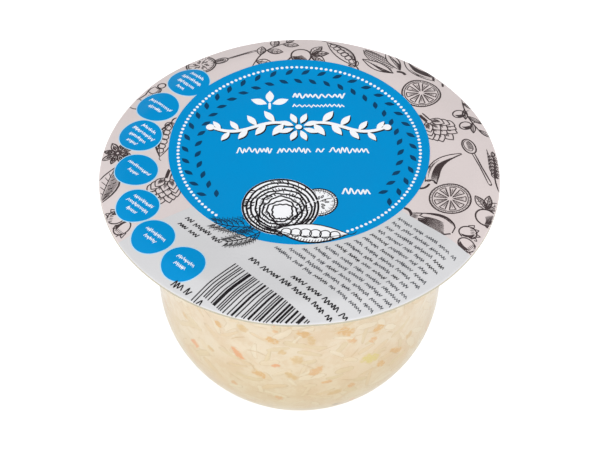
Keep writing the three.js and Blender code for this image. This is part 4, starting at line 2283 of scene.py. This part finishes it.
    def build_title(self) -> None:
        """A white scrolling vine with a dark drop shadow, where a title would stand."""
        vine = Sketch()
        for hand in (-1, 1):
            stem = np.array([(x, self.vine_height(x)) for x in np.linspace(*self.vine_span)])
            vine.line(stem * (hand, 1), *self.vine_pen)
            for k in range(self.vine_leaves):
                x = self.vine_leaf_from + self.vine_leaf_pitch * k
                up = 1 if k % 2 else -1
                base = (x, self.vine_height(x) + 0.2 * up)
                leaf = leaf_outline(4.8 - 0.2 * k, 0.2, up * self.vine_leaf_splay, base)
                vine.patches.append(leaf if hand > 0 else (leaf * (-1, 1))[::-1])
            vine.dot((hand * 21.2, -0.1), 1.0, 20)
        for _, azimuth in around(self.petals, 0.5):
            vine.patches.append(leaf_outline(3.7, 0.21, azimuth, polar(1.3, azimuth)))
        vine.dot((0, 0), 0.8, 20)
        (x, y), (dx, dy) = self.title_at, self.title_shadow_at
        shadow = vine.placed((x + dx, y + dy), fatter=self.title_shadow_fatter)
        self.press.printed("title_shadow", shadow, Layer.SHADOW, "black")
        self.press.printed("title_vine", vine.placed((x, y)), Layer.FILL, "white")

    def build_small_white(self) -> None:
        """White scribbled rows and a three-leaf sprout in the disc."""
        art = Sketch()
        draw = Random(self.white_seed)
        x, y = self.subtitle_from
        for length in self.subtitle_words:
            art.add(scribble((x, y), length, *self.subtitle_script, draw))
            x += length + self.subtitle_gap
        for word in self.white_words:
            art.add(scribble(*word, draw))
        for turn in map(math.radians, self.sprout_headings):
            art.patches.append(leaf_outline(4.2, 0.24, turn, self.sprout_at) + polar(0.7, turn))
        art.line(self.sprout_stalk, 0.6, 0.2)
        self.press.printed("white_rows", art, Layer.FILL, "white")

    def build_bars(self) -> None:
        """A block of stripes of made-up widths that runs off the film's edge."""
        art = Sketch()
        draw = Random(self.stripe_seed)
        u, last = self.stripe_span
        top, bottom = self.stripe_rows
        while u < last:
            width = self.stripe_module * draw.choice((1, 1, 2, 1, 2, 1, 3))
            long = any(low < u < high for low, high in self.stripe_long)
            across = np.linspace(top, self.stripe_long_to if long else bottom, self.stripe_points)
            art.line([self.row_point(u + width / 2, v) for v in across], width, 0.0)
            u += width + self.stripe_module * draw.choice((1, 2, 1, 2, 3, 1))
        self.press.printed("stripe_block", art, Layer.SHADOW, "black")

    def build_rows(self) -> None:
        """Scribbled rows in the grey field, fine ones and a few bolder ones."""
        fine, bold = Sketch(), Sketch()
        draw = Random(self.small_seed)
        rows = [(v, *self.row_span(v), *self.small_script) for v in np.linspace(*self.small_rows)]
        for v, u, end, height, pen in [*rows, *self.bold_rows]:
            while u < end - self.small_end:
                length = min(draw.uniform(*self.small_words), end - u)
                word = scribble((u, 0.0), length, height, pen, draw)
                heavy = (height, pen) != self.small_script or draw.random() < self.small_bold_share
                (bold if heavy else fine).add(word.placed(self.row_point(0.0, v), self.row_heading))
                u += length + self.small_gap
        self.press.printed("fine_rows", fine, Layer.SHADOW, "slate")
        self.press.printed("bold_rows", bold, Layer.SHADOW, "black")

    def row_span(self, v: float) -> tuple[float, float]:
        """Where a row across the field starts, clear of the disc, and ends, clear of the rim.

        Args:
            v: How far across the rows it lies.

        Returns:
            Its start and its end along the row.
        """
        u = np.linspace(*self.small_reach)
        points = np.array([self.row_point(a, v) for a in u])
        x, y = (points - self.disc_centre).T
        clear = np.hypot(x, y) > self.disc_radius + self.small_clear_disc
        clear &= np.hypot(*points.T) < self.press.film.radius / MM - self.small_clear_rim
        clear &= np.arctan2(y, x) < self.field_to - math.tau - self.small_clear_side
        return float(u[clear].min()), float(u[clear].max())

    def build_pattern(self) -> None:
        """Line drawings of garden and kitchen things, side by side on the blush ground."""
        art = Sketch()
        for motif, x, y, turn, scale in PATTERN:
            art.add(drawn(motif).placed((x, y), math.radians(turn), scale))
        self.press.printed("garden_pattern", art, Layer.PATTERN, "sepia")

    def build_still_life(self) -> None:
        """A white-filled ink drawing of an onion, a slice, a pod and herbs in the disc's lower part."""
        fills, ink = Sketch(), Sketch()
        ink.add(drawn(dill_sprig).placed((-8.6, -18.2), math.radians(168)))
        ink.add(drawn(dill_sprig).placed((-8.2, -19.6), math.radians(196), 0.85))
        for motif, at, turn, scale, reach in (
            (cucumber_slice, (4.4, -10.6), 0.4, 1.15, 3.95),
            (onion_half, (-4.4, -12.0), 0.25, 2.05, 4.45),
        ):
            rim = oval_points(at, reach * scale, reach * scale, count=48)
            ink.clear_inside(rim)
            fills.patches.append(rim)
            ink.add(drawn(motif).placed(at, turn, scale))
        lower, upper = pod_edges()
        shell = Sketch()
        shell.patches.append(np.concatenate([lower, upper[::-1][1:-1]]))
        shell = shell.placed(*self.pod_at)
        ink.clear_inside(shell.patches[0])
        fills.add(shell)
        ink.add(drawn(pea_pod).placed(*self.pod_at))
        self.press.printed("still_life_white", fills, Layer.FILL, "white")
        self.press.printed("still_life_ink", ink, Layer.OUTLINE, "black")

    def build(self) -> None:
        """The film and all of its print."""
        self.build_film()
        self.build_ground()
        self.build_pattern()
        self.build_field()
        self.build_disc()
        self.build_badges()
        self.build_dots()
        self.build_wreath()
        self.build_title()
        self.build_small_white()
        self.build_bars()
        self.build_rows()
        self.build_still_life()


# A scribble's half waves: their length in pen widths, their shares of its height and how unevenly they
# follow each other, then the height in millimetres from which they are rounded, and in how many steps.
WAVE_PITCH = 1.7
WAVE_HEIGHTS = (0.3, 0.3, 0.34, 0.5)
WAVE_PACES = (0.6, 1.4)
ROUNDED_FROM = 1.3
ROUNDED_STEPS = 4


def scribble(start: Point, length: float, height: float, width: float, draw: Random) -> Sketch:
    """A wavy line that stands for a word of small print, rounded where it is tall.

    Args:
        start: Its left end.
        length: Its length.
        height: Of its tallest waves.
        width: Of its pen.
        draw: The seeded source of its unevenness.

    Returns:
        The drawing.
    """
    art = Sketch()
    count = max(round(length / (width * WAVE_PITCH)), 2)
    tall = [height * draw.choice(WAVE_HEIGHTS) * (1 if k % 2 else -1) for k in range(count + 1)]
    pace = np.cumsum([0.0, *(draw.uniform(*WAVE_PACES) for _ in range(count))])
    steps = np.linspace(0, count, count * (ROUNDED_STEPS if height > ROUNDED_FROM else 1) + 1)
    ease = 0.5 - 0.5 * np.cos(np.pi * (steps % 1))
    first = np.minimum(steps.astype(int), count - 1)
    share = np.where(steps >= count, 1.0, ease)
    y = np.take(tall, first) * (1 - share) + np.take(tall, first + 1) * share
    x = np.interp(steps, range(count + 1), pace / pace[-1])
    art.line(np.stack([start[0] + length * x, start[1] + y], axis=1), width, 0.0)
    return art


# ---------------------------------------------------------------- the studio


@dataclass(frozen=True)
class Studio:
    """A pale floor, soft light from all round and the camera."""

    floor_size: float = 8.0
    floor_colour: Colour = srgb(160, 160, 160)
    floor_roughness: float = 0.8
    floor_specular: float = 0.1
    floor_glow: float = 0.91
    glare_cut: float = 0.25
    world_strength: float = 1.17
    flag_strength: float = 0.04
    flag: tuple[float, float, float] = (0.0, 0.69, 0.724)
    flag_inner: float = 0.9
    flag_outer: float = 0.72
    lamps: tuple[tuple[str, tuple[float, float, float], float], ...] = (
        ("key", (-0.8, -0.75, 0.4), 2.5),
        ("fill", (0.85, -0.6, 0.34), 1.9),
    )
    lamp_size: float = 0.8
    camera_place: tuple[float, float, float] = (0.00013, -0.43296, 0.49693)
    camera_tilt: float = math.radians(90 - 46.33)
    lens: float = 156.0
    sensor: float = 36.0
    nearest: float = 10 * MM

    def build_floor(self) -> None:
        """The floor that the cup stands on, which shines less in the plastic's mirror image of it."""
        bpy.ops.object.select_all(action="DESELECT")
        bpy.ops.mesh.primitive_plane_add(size=self.floor_size)
        floor = bpy.context.object
        floor.name = "floor"
        material, nodes = new_material("floor")
        path = nodes.add("LightPath").outputs
        mirrored = nodes.math("MULTIPLY", path["Is Glossy Ray"], path["Is Reflection Ray"])
        cut = nodes.math("MULTIPLY", mirrored, self.glare_cut)
        shader = nodes.fed(
            "BsdfPrincipled",
            {
                "Base Color": self.floor_colour,
                "Roughness": self.floor_roughness,
                "Specular IOR Level": self.floor_specular,
                "Emission Color": WHITE,
                "Emission Strength": nodes.math("SUBTRACT", self.floor_glow, cut),
            },
        )
        nodes.close(shader)
        floor.data.materials.append(material)

    def build_light(self) -> None:
        """A white surround, dark where the flat film would mirror it, and two soft lamps."""
        world = bpy.data.worlds.new("studio")
        bpy.context.scene.world = world
        world.use_nodes = True
        nodes = Nodes(world.node_tree)
        toward = nodes.fed("VectorMath", {0: nodes.place(), 1: self.flag}, operation="DOT_PRODUCT")
        dark = nodes.span(toward.outputs["Value"], self.flag_outer, self.flag_inner)
        drop = nodes.math("MULTIPLY", dark, self.flag_strength - self.world_strength)
        strength = nodes.math("ADD", drop, self.world_strength)
        nodes.close(nodes.fed("Background", {"Color": WHITE, "Strength": strength}), "OutputWorld")
        for name, place, power in self.lamps:
            lamp = bpy.data.lights.new(name, "AREA")
            lamp.energy = power
            lamp.size = self.lamp_size
            holder = bpy.data.objects.new(name, lamp)
            holder.location = place
            holder.rotation_euler = (-Vector(place)).to_track_quat("-Z", "Y").to_euler()
            bpy.context.scene.collection.objects.link(holder)

    def build_camera(self) -> None:
        """The camera, looking down at the film and the front of the bowl."""
        camera = bpy.data.cameras.new("camera")
        camera.lens = self.lens
        camera.sensor_width = self.sensor
        camera.clip_start = self.nearest
        holder = bpy.data.objects.new("camera", camera)
        holder.location = self.camera_place
        holder.rotation_euler = (self.camera_tilt, 0.0, 0.0)
        bpy.context.scene.collection.objects.link(holder)
        bpy.context.scene.camera = holder

    def build(self) -> None:
        """The whole studio, with plain colour handling."""
        bpy.context.scene.view_settings.view_transform = "Standard"
        self.build_floor()
        self.build_light()
        self.build_camera()


def shred_kinds() -> Iterator[ShredKind]:
    """The cut vegetables that show through the wall, with thin strips of painted gap shade among them, the
    palest and most common first.

    Yields:
        Each kind.
    """
    yield ShredKind(
        finish=ShredFinish(
            name="cabbage_shreds",
            tones=(srgb(240, 228, 208), srgb(232, 210, 176), srgb(236, 220, 194), srgb(229, 211, 176)),
            rim=srgb(208, 184, 144),
            strength=0.7,
            patchy=0.35,
            core=(0.2, 0.55),
            fade=(0.02, 0.4),
        ),
        count=640,
        length=(3.5 * MM, 9 * MM),
        width=(1.2 * MM, 2.8 * MM),
        seed=3,
    )
    yield ShredKind(
        finish=ShredFinish(
            name="ochre_shreds",
            tones=(srgb(222, 184, 132), srgb(224, 196, 148), srgb(216, 192, 146), srgb(228, 190, 148)),
            rim=srgb(226, 200, 160),
            strength=0.8,
        ),
        count=150,
        length=(2.0 * MM, 4.8 * MM),
        width=(1.2 * MM, 2.4 * MM),
        seed=4,
        crown=0.17 * MM,
        spare_front=0.55,
    )
    yield ShredKind(
        finish=ShredFinish(
            name="carrot_shreds",
            tones=(srgb(243, 172, 122), srgb(238, 186, 144), srgb(240, 160, 106)),
            rim=srgb(236, 196, 158),
            strength=0.9,
            patchy=0.35,
        ),
        count=60,
        length=(1.8 * MM, 4.4 * MM),
        width=(0.9 * MM, 1.6 * MM),
        seed=9,
        crown=0.18 * MM,
        spare_front=0.55,
    )
    # Thin tan strips: partly the cut edges of cabbage pieces, partly painted shade in the gaps between them.
    yield ShredKind(
        finish=ShredFinish(
            name="gap_shade_shreds",
            tones=(srgb(214, 186, 142), srgb(220, 194, 152), srgb(210, 180, 138)),
            rim=srgb(222, 198, 158),
            strength=0.5,
            patchy=0.4,
        ),
        count=220,
        length=(2.5 * MM, 8.0 * MM),
        width=(0.34 * MM, 0.6 * MM),
        seed=17,
        bend=1.5,
        crown=0.16 * MM,
    )
    yield ShredKind(
        finish=ShredFinish(
            name="green_shreds",
            tones=(srgb(222, 210, 134), srgb(214, 208, 146)),
            rim=srgb(226, 210, 160),
            strength=0.85,
        ),
        count=14,
        length=(3.0 * MM, 5.0 * MM),
        width=(1.6 * MM, 2.6 * MM),
        seed=21,
        crown=0.18 * MM,
        spare_front=0.55,
    )


def landmark_finish() -> ShredFinish:
    """The coloured bits at the front, with one tone for each kind in Tone.

    Returns:
        The finish.
    """
    return ShredFinish(
        name="front_shreds",
        tones=(
            srgb(236, 164, 106),
            srgb(228, 182, 126),
            srgb(224, 178, 106),
            srgb(222, 190, 134),
            srgb(226, 210, 122),
            srgb(174, 146, 112),
        ),
        rim=srgb(228, 200, 154),
        strength=0.78,
        patchy=0.6,
        grain=1300.0,
    )


def main() -> None:
    """Builds the cup, its coleslaw, the printed film and the studio."""
    logging.basicConfig(level=logging.INFO, format="%(name)s: %(message)s")
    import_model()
    mottle = Mottle().build()
    form = BowlForm()
    Cup(form).build(ClearPlasticFinish())
    cream = DressingFinish(mottle, HeightDeepening().build())
    salad = Coleslaw(form, tuple(shred_kinds()), landmark_finish())
    salad.build_dressing(cream)
    for kind in salad.kinds:
        salad.build_shreds(kind, cream)
    salad.build_landmarks(cream)
    Label(Press(Film(), Palette(mottle))).build()
    Studio().build()


if __name__ == "__main__":
    main()
